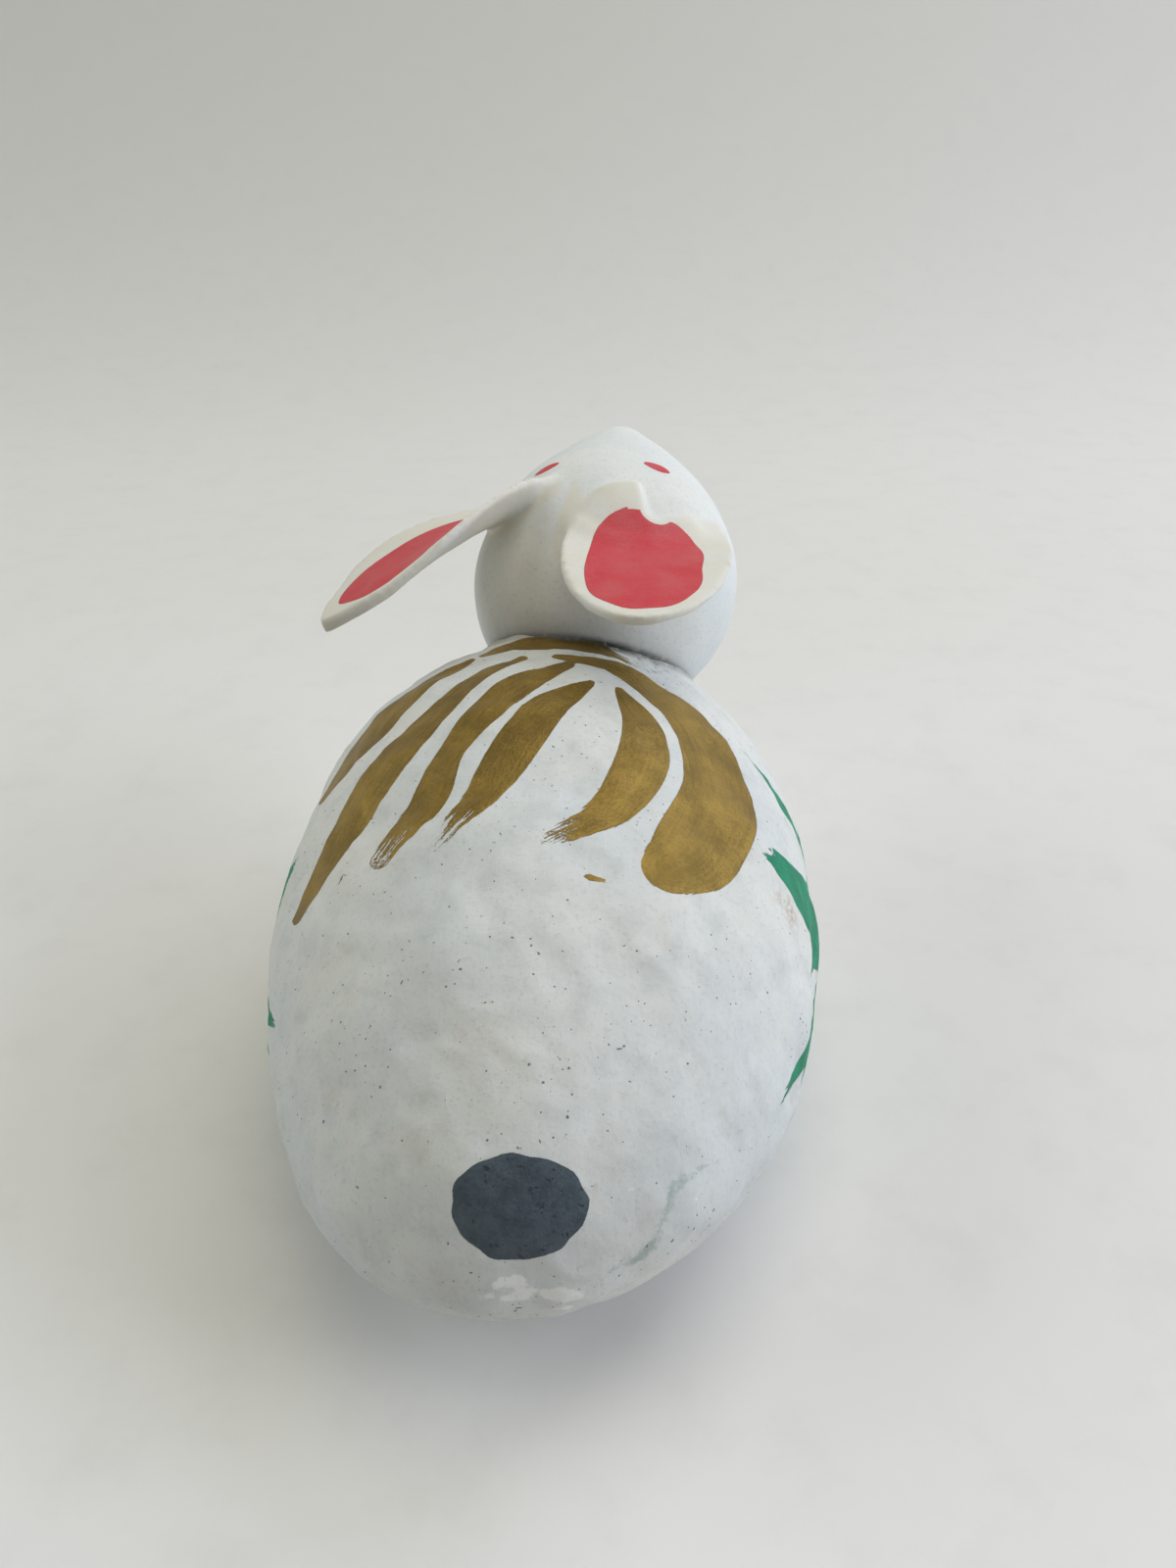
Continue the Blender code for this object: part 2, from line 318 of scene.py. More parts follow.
@dataclass(frozen=True)
class EarBlade:
    """One ear: a thin paddle, hollowed on its painted face, with a twist at its root.

    The red's centre and half length are shares of the length, its half width a share of the ear's. The
    notch holds its place across in millimetres, its share of the length and its radius in millimetres.
    """

    root: np.ndarray
    length: float
    width: float
    swing: float
    droop: float
    roll: float
    twist: float
    arch: float
    cup: float
    red_centre: float
    red_half_length: float
    red_half_width: float
    red_aside: float = 0.0
    red_power: float = 2.45
    red_root_swell: float = 0.14
    red_broad_wave: tuple[float, float] = (0.014, 5.0)
    red_fine_wave: Triple = (0.010, 9.0, 1.3)
    red_heights: tuple[float, float] = (-0.0009, 0.004)
    red_facing: float = 0.1
    notch: Triple | None = None
    notch_squeeze: float = 0.8
    tip_swell: float = 0.1
    tip_power: float = 0.5
    edge: float = 0.0013
    middle: float = 0.0030
    root_share: float = 0.60
    widest_share: float = 0.52
    cup_start_share: float = 0.2
    stations: int = 90
    section_steps: int = 36

    @classmethod
    def right_of(cls, head: HeadEgg) -> "EarBlade":
        """Give the right ear, which lies straight back over the nape.

        Args:
            head: The head.

        Returns:
            The ear.
        """
        return cls(
            root=head.corner(0.38, 0.23, 0.70), length=0.0555, width=0.0290, swing=math.radians(3.5),
            droop=math.radians(3.0), roll=0.0, twist=math.radians(-24.0), arch=0.0, cup=0.0014,
            root_share=0.80, red_centre=0.66, red_half_length=0.285, red_half_width=0.665,
            notch=(-0.4, 0.372, 2.3),
        )

    @classmethod
    def left_of(cls, head: HeadEgg) -> "EarBlade":
        """Give the left ear, which swings out over the left shoulder.

        Args:
            head: The head.

        Returns:
            The ear.
        """
        return cls(
            root=head.corner(-0.50, 0.10, 0.745), length=0.0510, width=0.0256, swing=math.radians(43.5),
            droop=math.radians(12.3), roll=math.radians(16.0), twist=math.radians(18.0), arch=0.0025,
            cup=0.0027, red_centre=0.555, red_half_length=0.345, red_half_width=0.64, red_aside=-0.08,
            tip_swell=0.7, tip_power=0.85,
        )

    @property
    def along(self) -> np.ndarray:
        """Unit vector from the root to the tip."""
        flat = math.cos(self.droop)
        return np.array([-math.sin(self.swing) * flat, -math.cos(self.swing) * flat, -math.sin(self.droop)])

    def axes(self, share: np.ndarray) -> tuple[np.ndarray, np.ndarray]:
        """Turn the blade's own axes with its twist.

        Args:
            share: Shares of the length.

        Returns:
            Unit vectors across the blade, and out of its painted face.
        """
        along = Vector(self.along)
        level = Vector((0.0, 0.0, 1.0))
        upright = (level - along * level.dot(along)).normalized()
        normal = np.array(Matrix.Rotation(self.roll, 3, along) @ upright)
        side = unit(np.cross(self.along, normal)[None])[0]
        angle = self.twist * (1.0 - share) ** 2
        cosine, sine = np.cos(angle)[:, None], np.sin(angle)[:, None]
        across = side * cosine + np.cross(self.along, side) * sine
        return across, normal * cosine + np.cross(self.along, normal) * sine

    def centre_line(self, share: np.ndarray) -> np.ndarray:
        """Give the middle of the painted face.

        Args:
            share: Shares of the length.

        Returns:
            World points.
        """
        _, normal = self.axes(np.ones(1))
        rise = self.arch * np.sin(np.pi * share)
        return self.root + np.outer(share * self.length, self.along) + np.outer(rise, normal[0])

    def half_width(self, share: np.ndarray) -> np.ndarray:
        """Give the blade's half width.

        Args:
            share: Shares of the length.

        Returns:
            Half widths in metres, down to nothing at the tip.
        """
        grown = np.sin(np.pi / 2.0 * np.minimum(share / self.widest_share, 1.0))
        near = self.root_share + (1.0 - self.root_share) * grown
        past = np.maximum(share - self.widest_share, 0.0) / (1.0 - self.widest_share)
        return self.width / 2.0 * near * np.maximum(1.0 - past ** 2, 0.0) ** self.tip_power

    def rim_lift(self, share: np.ndarray) -> np.ndarray:
        """Give how far the rim stands above the middle of the painted face."""
        return self.cup * np.sin(np.pi * np.minimum(share + self.cup_start_share, 1.0))

    def sections(self) -> list[np.ndarray]:
        """Shape the blade, with its sections closer together towards its round tip.

        Returns:
            Loops of world points round the blade, from the root to the tip.
        """
        share = np.sin(np.pi / 2.0 * np.arange(self.stations) / self.stations)
        across, up = self.axes(share)
        middle, half, lift = self.centre_line(share), self.half_width(share), self.rim_lift(share)
        x = np.cos(np.pi * np.arange(self.section_steps + 1) / self.section_steps)[:, None]
        loops = []
        for station in range(self.stations):
            swell = (1.0 - x * x) * half[station] / (self.width / 2.0)
            thick = self.edge + (self.middle - self.edge) * swell
            thick = thick * (1.0 + self.tip_swell * share[station] ** 5)
            rise = up[station] * lift[station] * x * x
            front = middle[station] + across[station] * half[station] * x + rise
            loops.append(np.concatenate([front, (front - up[station] * thick)[::-1]]))
        return loops

    def mesh(self) -> bmesh.types.BMesh:
        """Skin the sections.

        Returns:
            The closed blade.
        """
        made = bmesh.new()
        loops = [[made.verts.new(point) for point in loop] for loop in self.sections()]
        for near, far in zip(loops, loops[1:]):
            for step in range(len(near)):
                following = (step + 1) % len(near)
                made.faces.new((near[step], near[following], far[following], far[step]))
        made.faces.new(loops[0][::-1])
        made.faces.new(loops[-1])
        bmesh.ops.recalc_face_normals(made, faces=made.faces[:])
        return made

    def measure(self, points: np.ndarray) -> tuple[np.ndarray, np.ndarray, np.ndarray]:
        """Measure world points along, across and above the painted face.

        Args:
            points: World points, one per row.

        Returns:
            Share of the length, distance across in metres, and height above the face in metres.
        """
        share = (points - self.root) @ self.along / self.length
        place = np.clip(share, 0.0, 1.0)
        side, up = self.axes(place)
        offset = points - self.centre_line(place)
        across = (offset * side).sum(axis=1)
        half = np.maximum(self.half_width(place), 1e-5)
        rim = self.rim_lift(place) * np.minimum((across / half) ** 2, 1.0)
        return share, across, (offset * up).sum(axis=1) - rim


@dataclass(frozen=True)
class Chart:
    """A flat sheet on which strokes are drawn in millimetres, facing the side they are painted on."""

    right: Triple
    up: Triple
    facing: Triple
    least_facing: float = 0.05

    def flatten(self, points: np.ndarray, normals: np.ndarray) -> tuple[np.ndarray, np.ndarray]:
        """Project world points onto the sheet.

        Args:
            points: World points in metres, one per row.
            normals: Outward normals of those points.

        Returns:
            Places on the sheet in millimetres, and whether each point faces the sheet.
        """
        axes = np.array([self.right, self.up]).T
        return points @ axes / MM, normals @ np.array(self.facing) > self.least_facing


@dataclass(frozen=True)
class Stroke:
    """One pull of a brush through a few places, in millimetres on its chart.

    Each place holds across, along and the brush's width there. dry is the share of the stroke, counted
    from its end, over which the brush runs dry and leaves streaks.
    """

    places: tuple[Triple, ...]
    dry: float = 0.0
    finish_dryness: float = 1.0

    def path(self, per_span: int = 24) -> np.ndarray:
        """Draw a smooth curve through the places.

        Args:
            per_span: Steps from each place to the next.

        Returns:
            Points of the curve, with the brush's width in the third column.
        """
        held = np.array(self.places)
        ends = np.vstack([2.0 * held[0] - held[1], held, 2.0 * held[-1] - held[-2]])
        t = np.linspace(0.0, 1.0, per_span, endpoint=False)[:, None]
        curve = []
        for a, b, c, d in zip(ends, ends[1:], ends[2:], ends[3:]):
            bend = 2.0 * a - 5.0 * b + 4.0 * c - d
            curve.append(0.5 * (2.0 * b + (c - a) * t + bend * t ** 2 + (3.0 * (b - c) + d - a) * t ** 3))
        return np.vstack(curve + [held[-1:]])

    def nearby(self, flat: np.ndarray, margin: float = 2.0) -> np.ndarray:
        """Tell which places on the chart are near enough to measure.

        Args:
            flat: Places in millimetres, one per row.
            margin: How far outside the stroke still counts, in millimetres.

        Returns:
            True for each near place.
        """
        path = self.path()
        reach = path[:, 2].max() / 2.0 + margin
        low, high = path[:, :2].min(axis=0) - reach, path[:, :2].max(axis=0) + reach
        return ((flat > low) & (flat < high)).all(axis=1)

    def measure(self, flat: np.ndarray) -> dict[str, np.ndarray]:
        """Measure places on the chart against the stroke.

        Args:
            flat: Places in millimetres, one per row.

        Returns:
            Distance inside the stroke's edge, distance along it, signed distance across it, and dryness.
        """
        path = self.path()
        start, step = path[:-1, :2], np.diff(path[:, :2], axis=0)
        size = np.maximum((step ** 2).sum(axis=1), 1e-9)
        run = np.concatenate([[0.0], np.cumsum(np.sqrt(size))])
        best = {name: np.full(len(flat), FAR_OUTSIDE) for name in STROKE_VALUES}
        for index in range(len(step)):
            offset = flat - start[index]
            share = np.clip(offset @ step[index] / size[index], 0.0, 1.0)
            gap = offset - share[:, None] * step[index]
            distance = np.linalg.norm(gap, axis=1)
            width = path[index, 2] + (path[index + 1, 2] - path[index, 2]) * share
            inside = width / 2.0 - distance
            wins = inside > best["inside"]
            along = run[index] + share * math.sqrt(size[index])
            side = np.sign(step[index, 0] * gap[:, 1] - step[index, 1] * gap[:, 0])
            best["inside"][wins] = inside[wins]
            best["along"][wins] = along[wins]
            best["across"][wins] = (side * distance)[wins]
        if self.dry > 0.0:
            worn = (best["along"] / run[-1] - 1.0 + self.dry) / self.dry
            best["dry"] = np.clip(worn, 0.0, 1.0) * self.finish_dryness
        else:
            best["dry"] = np.zeros(len(flat))
        return best


@dataclass
class PaintCoat:
    """All strokes of one paint on one piece, gathered as values per vertex."""

    paint: Paint
    count: int

    def __post_init__(self) -> None:
        """Start with bare ground everywhere."""
        self.values = {name: np.full(self.count, FAR_OUTSIDE) for name in STROKE_VALUES}

    def lay(self, stroke: Stroke, flat: np.ndarray, facing: np.ndarray, turn: int = 0) -> None:
        """Brush one stroke on.

        Args:
            stroke: The stroke.
            flat: Places of all vertices on the stroke's chart.
            facing: Whether each vertex faces the chart.
            turn: Number of the stroke, which sets its streaks apart from its neighbours'.
        """
        reach = np.where(facing & stroke.nearby(flat))[0]
        if len(reach) == 0:
            return
        found = stroke.measure(flat[reach])
        wins = found["inside"] > self.values["inside"][reach]
        for name, value in found.items():
            shifted = value + STREAK_SHIFT * turn if name == "along" else value
            self.values[name][reach[wins]] = shifted[wins]

    def merge(self, inside: np.ndarray) -> None:
        """Add a filled shape, given as distance inside its edge in millimetres."""
        self.values["inside"] = np.maximum(self.values["inside"], inside)

    def leave_no_streaks(self) -> None:
        """Fill evenly, with no run of the brush."""
        for name in ("along", "across", "dry"):
            self.values[name][:] = 0.0

    def store(self, mesh: bpy.types.Mesh) -> None:
        """Write the values to the mesh."""
        for name, value in self.values.items():
            store_value(mesh, self.paint.value + "_" + name, value)


class NodeSketch:
    """A short way to add and join nodes in a tree."""

    def __init__(self, tree: bpy.types.NodeTree) -> None:
        """Start on a tree."""
        self.tree = tree
        self.column = 0

    def add(self, kind: str, values: dict | None = None, **settings: object) -> bpy.types.Node:
        """Add a node.

        Args:
            kind: The node's type.
            values: Input names or numbers, each with a plain value or an output to link.
            **settings: Properties set on the node.

        Returns:
            The node.
        """
        node = self.tree.nodes.new(kind)
        node.location = (180.0 * self.column, -40.0 * (self.column % 5))
        self.column += 1
        for name, value in settings.items():
            setattr(node, name, value)
        for name, value in (values or {}).items():
            self.feed(node.inputs[name], value)
        return node

    def feed(self, socket: bpy.types.NodeSocket, value: object) -> None:
        """Link an output to a socket, or set the socket's own value.

        Args:
            socket: The socket.
            value: An output of another node, or a plain value.
        """
        if isinstance(value, bpy.types.NodeSocket):
            self.tree.links.new(value, socket)
        else:
            socket.default_value = value

    def math(self, operation: str, first: object, second: object = 0.0) -> bpy.types.NodeSocket:
        """Add a Math node and return its result."""
        return self.add("ShaderNodeMath", {0: first, 1: second}, operation=operation).outputs[0]

    def plus(self, first: object, second: object) -> bpy.types.NodeSocket:
        """Add one value to another."""
        return self.math("ADD", first, second)

    def minus(self, first: object, second: object) -> bpy.types.NodeSocket:
        """Take one value from another."""
        return self.math("SUBTRACT", first, second)

    def times(self, first: object, second: object) -> bpy.types.NodeSocket:
        """Multiply two values."""
        return self.math("MULTIPLY", first, second)

    def remap(self, value: object, low: float, high: float, to_low: float = 0.0, to_high: float = 1.0,
              smooth: bool = True) -> bpy.types.NodeSocket:
        """Move a value from one range to another.

        Args:
            value: The value.
            low: Start of its range.
            high: End of its range.
            to_low: Result at the start.
            to_high: Result at the end.
            smooth: Whether it leaves and arrives softly.

        Returns:
            The result.
        """
        kind = "SMOOTHSTEP" if smooth else "LINEAR"
        held = {"Value": value, "From Min": low, "From Max": high, "To Min": to_low, "To Max": to_high}
        return self.add("ShaderNodeMapRange", held, interpolation_type=kind).outputs["Result"]

    def mix(self, share: object, first: object, second: object) -> bpy.types.NodeSocket:
        """Mix two colours.

        Args:
            share: Share of the second colour.
            first: The first colour.
            second: The second colour.

        Returns:
            The mixed colour.
        """
        node = self.add("ShaderNodeMix", data_type="RGBA")
        for socket, value in ((node.inputs[0], share), (node.inputs[6], first), (node.inputs[7], second)):
            self.feed(socket, value)
        return node.outputs[2]

    def noise(self, vector: object, scale: float, detail: float = 2.0,
              roughness: float = 0.5) -> bpy.types.NodeSocket:
        """Add a noise texture and return its value."""
        held = {"Vector": vector, "Scale": scale, "Detail": detail, "Roughness": roughness}
        return self.add("ShaderNodeTexNoise", held, noise_dimensions="3D").outputs[0]


def rgba(red: float, green: float, blue: float) -> Colour:
    """Turn a colour as seen on a screen into the linear values that shaders read.

    Args:
        red: Red, 0 to 255.
        green: Green, 0 to 255.
        blue: Blue, 0 to 255.

    Returns:
        The linear colour.
    """
    def linear(value: float) -> float:
        """Undo the screen's curve for one channel."""
        share = value / 255.0
        return share / 12.92 if share <= 0.04045 else ((share + 0.055) / 1.055) ** 2.4
    return linear(red), linear(green), linear(blue), 1.0


def new_group(name: str, inputs: dict[str, float], outputs: dict[str, str]) -> bpy.types.NodeTree:
    """Start a shader node group.

    Args:
        name: The group's name.
        inputs: Float inputs and their starting values; "Place" becomes a vector.
        outputs: Output names and their socket types.

    Returns:
        The group's tree, with its input and output nodes still to be joined.
    """
    tree = bpy.data.node_groups.new(name, "ShaderNodeTree")
    for socket, value in inputs.items():
        if socket == "Place":
            tree.interface.new_socket(socket, in_out="INPUT", socket_type="NodeSocketVector")
            continue
        made = tree.interface.new_socket(socket, in_out="INPUT", socket_type="NodeSocketFloat")
        made.default_value = value
    for socket, kind in outputs.items():
        tree.interface.new_socket(socket, in_out="OUTPUT", socket_type=kind)
    return tree


@dataclass(frozen=True)
class BrushEdge:
    """The group that turns a stroke's values into a mask with ragged and dry edges."""

    streak_run: float = 0.10
    streak_count: float = 2.4
    grit_scale: float = 2600.0
    fray: float = 3.0
    edge: tuple[float, float] = (-0.03, 0.05)
    grit_part: float = 0.25
    wet_limit: float = 0.12
    dry_limit: float = 0.60
    bare: tuple[float, float] = (-0.015, 0.02)

    def build(self) -> bpy.types.NodeTree:
        """Build the group.

        Returns:
            Its tree.
        """
        tree = new_group(
            "brush_edge",
            {"Inside": 0.0, "Along": 0.0, "Across": 0.0, "Dry": 0.0, "Place": 0.0, "Ragged": 0.12,
             "Streaks": 1.0},
            {"Mask": "NodeSocketFloat", "Streak": "NodeSocketFloat"},
        )
        sketch = NodeSketch(tree)
        given = sketch.add("NodeGroupInput").outputs
        run = sketch.times(given["Along"], self.streak_run)
        wide = sketch.times(given["Across"], self.streak_count)
        streak_place = sketch.add("ShaderNodeCombineXYZ", {"X": run, "Y": wide}).outputs[0]
        streak = sketch.noise(streak_place, 1.0, 3.0, 0.6)
        grit = sketch.noise(given["Place"], self.grit_scale, 2.0, 0.6)
        ragged = sketch.times(sketch.minus(grit, 0.5), given["Ragged"])
        frayed = sketch.times(sketch.minus(streak, 0.5), given["Dry"])
        edge = sketch.plus(given["Inside"], ragged)
        edge = sketch.plus(edge, sketch.times(frayed, self.fray))
        covered = sketch.remap(edge, *self.edge)
        worn = sketch.plus(sketch.times(streak, 1.0 - self.grit_part), sketch.times(grit, self.grit_part))
        limit = sketch.times(given["Dry"], given["Streaks"])
        kept = sketch.minus(worn, sketch.remap(limit, 0.0, 1.0, self.wet_limit, self.dry_limit, smooth=False))
        solid = sketch.remap(kept, *self.bare)
        sketch.add("NodeGroupOutput", {"Mask": sketch.times(covered, solid), "Streak": streak})
        return tree


@dataclass(frozen=True)
class GroundLayer:
    """A thin layer of the ground: its noise, the range in which that shows it, its colour and strength."""

    scale: float
    detail: float
    roughness: float
    low: float
    high: float
    colour: Colour
    strength: float = 1.0

    def noise(self, sketch: NodeSketch, place: bpy.types.NodeSocket) -> bpy.types.NodeSocket:
        """Make the layer's noise."""
        return sketch.noise(place, self.scale, self.detail, self.roughness)

    def lay(self, sketch: NodeSketch, colour: object, noise: bpy.types.NodeSocket,
            share: bpy.types.NodeSocket | None = None) -> bpy.types.NodeSocket:
        """Lay the layer over a colour.

        Args:
            sketch: The tree.
            colour: The colour below.
            noise: The layer's noise.
            share: An input that weakens the layer.

        Returns:
            The new colour.
        """
        shown = sketch.remap(noise, self.low, self.high)
        if share is not None:
            shown = sketch.times(shown, share)
        return sketch.mix(sketch.times(shown, self.strength), colour, self.colour)


@dataclass(frozen=True)
class ChalkGround:
    """The group for the matt white ground: its clouds, pores, stains, scratches, specks and relief.

    Heights are shares of the relief's depth. Specks show where the fine noise passes speck_limit, which
    is lower where they crowd together.
    """

    cool_white: Colour = rgba(222, 225, 223)
    warm: GroundLayer = GroundLayer(46.0, 3.0, 0.55, 0.35, 0.68, rgba(229, 229, 223))
    clouds: GroundLayer = GroundLayer(210.0, 4.0, 0.6, 0.46, 0.70, rgba(202, 206, 205))
    pores: GroundLayer = GroundLayer(1500.0, 4.0, 0.65, 0.52, 0.70, rgba(196, 198, 194), 0.40)
    stains: GroundLayer = GroundLayer(80.0, 5.0, 0.7, 0.55, 0.8, rgba(192, 187, 170))
    scratches: GroundLayer = GroundLayer(1.0, 2.0, 0.6, 0.66, 0.74, rgba(246, 247, 245), 0.35)
    specks: GroundLayer = GroundLayer(1900.0, 0.0, 0.5, 0.0, 0.012, rgba(62, 60, 54), 0.75)
    scratch_turn: Triple = (0.5, 0.4, 0.9)
    scratch_stretch: Triple = (2600.0, 160.0, 900.0)
    speck_limit: float = 0.814
    crowd_scale: float = 70.0
    crowd_range: tuple[float, float] = (0.35, 0.65)
    crowd_shift: tuple[float, float] = (0.022, -0.010)
    cloud_height: float = 0.5
    pore_height: float = 0.10
    scratch_height: float = 0.05
    speck_depth: float = 0.6
    roughness_range: tuple[float, float] = (0.62, 0.80)

    def build(self) -> bpy.types.NodeTree:
        """Build the group.

        Returns:
            Its tree.
        """
        tree = new_group(
            "chalk_ground",
            {"Place": 0.0, "Specks": 1.0, "Grime": 0.3, "Scratches": 0.5, "Clouds": 0.4, "Tone": 1.0},
            {"Color": "NodeSocketColor", "Height": "NodeSocketFloat", "Roughness": "NodeSocketFloat"},
        )
        sketch = NodeSketch(tree)
        given = sketch.add("NodeGroupInput").outputs
        place = given["Place"]
        cloud, pore = self.clouds.noise(sketch, place), self.pores.noise(sketch, place)
        stretch = {"Vector": place, "Rotation": self.scratch_turn, "Scale": self.scratch_stretch}
        brushed = self.scratches.noise(sketch, sketch.add("ShaderNodeMapping", stretch).outputs[0])
        speck = sketch.remap(self.speck_noise(sketch, place), self.specks.low, self.specks.high)
        speck = sketch.times(speck, given["Specks"])
        colour = self.warm.lay(sketch, self.cool_white, self.warm.noise(sketch, place))
        colour = self.clouds.lay(sketch, colour, cloud, given["Clouds"])
        colour = self.pores.lay(sketch, colour, pore)
        colour = self.stains.lay(sketch, colour, self.stains.noise(sketch, place), given["Grime"])
        colour = self.scratches.lay(sketch, colour, brushed, given["Scratches"])
        colour = sketch.mix(sketch.times(speck, self.specks.strength), colour, self.specks.colour)
        colour = sketch.mix(given["Tone"], (0.0, 0.0, 0.0, 1.0), colour)
        height = sketch.plus(sketch.times(cloud, self.cloud_height), sketch.times(pore, self.pore_height))
        height = sketch.plus(height, sketch.times(brushed, self.scratch_height))
        height = sketch.minus(height, sketch.times(speck, self.speck_depth))
        roughness = sketch.remap(pore, 0.3, 0.7, *self.roughness_range)
        sketch.add("NodeGroupOutput", {"Color": colour, "Height": height, "Roughness": roughness})
        return tree

    def speck_noise(self, sketch: NodeSketch, place: bpy.types.NodeSocket) -> bpy.types.NodeSocket:
        """Make the noise of the dark specks, which crowd together in some places.

        Args:
            sketch: The group's tree.
            place: Where on the surface.

        Returns:
            How far the noise passes the limit.
        """
        crowd = sketch.noise(place, self.crowd_scale, 1.0, 0.5)
        shift = sketch.remap(crowd, *self.crowd_range, *self.crowd_shift)
        return sketch.minus(self.specks.noise(sketch, place), sketch.plus(shift, self.speck_limit))


@dataclass(frozen=True)
class PaintFinish:
    """How one paint looks where it covers the ground."""

    paint: Paint
    deep: Colour
    light: Colour
    roughness: float
    metallic: float
    ragged: float
    mottle_scale: float
    streaks: float = 1.0
    grain_scale: float = 1900.0


GOLD_PAINT = PaintFinish(Paint.GOLD, rgba(124, 101, 46), rgba(164, 134, 64), 0.44, 0.70, 0.16, 160.0)
GREEN_PAINT = PaintFinish(Paint.GREEN, rgba(0, 116, 82), rgba(4, 144, 106), 0.55, 0.0, 0.20, 260.0)
SLATE_PAINT = PaintFinish(Paint.SLATE, rgba(66, 77, 86), rgba(84, 96, 104), 0.55, 0.0, 0.16, 420.0)
RED_PAINT = PaintFinish(Paint.RED, rgba(204, 54, 64), rgba(202, 86, 90), 0.52, 0.0, 0.14, 150.0)


@dataclass(frozen=True)
class GroundFinish:
    """How much of each mark the white ground of one piece has, its brightness and its depth of relief."""

    specks: float
    grime: float
    scratches: float
    clouds: float
    tone: float
    relief: float


BODY_GROUND = GroundFinish(specks=1.0, grime=0.45, scratches=0.8, clouds=0.42, tone=0.90, relief=0.00038)
HEAD_GROUND = GroundFinish(specks=0.25, grime=0.20, scratches=0.4, clouds=0.16, tone=1.03, relief=0.00020)


@dataclass(frozen=True)
class StainAndShade:
    """A stain, rubbed mark or painted shade over the paint, placed by a vertex value and torn up by noise.

    It shows least at low and fully at high.
    """

    value: str
    colour: Colour
    strength: float
    low: float
    high: float
    least: float = 0.0


CHIPS = StainAndShade("chips", rgba(243, 243, 238), 0.75, 0.50, 0.90)
SMEAR = StainAndShade("smear", rgba(132, 158, 142), 0.55, 0.50, 1.15)
SMUDGE = StainAndShade("smudge", rgba(176, 152, 126), 0.8, 0.42, 0.60)
# Dark speckles on the lip's far slope beside the neck: dark residue, with painted shade where the lip turns
# from the light.
LIP_SPECKS_AND_SHADE = StainAndShade("mould", rgba(92, 92, 76), 0.75, 0.52, 0.66)
# Painted shade: a dark olive line in the gap between head and body, on the body's lip and wall and on the
# head just above.
BODY_NECK_PAINTED_SHADE = StainAndShade("neck", rgba(50, 50, 36), 0.97, 0.30, 0.50, 0.5)
HEAD_NECK_PAINTED_SHADE = StainAndShade("neck", rgba(50, 50, 36), 0.92, 0.3, 0.5, 0.6)
EAR_IVORY = StainAndShade("ivory", rgba(222, 216, 199), 0.85, 0.3, 0.7, 0.5)
SPOT_PIT = rgba(42, 48, 52)


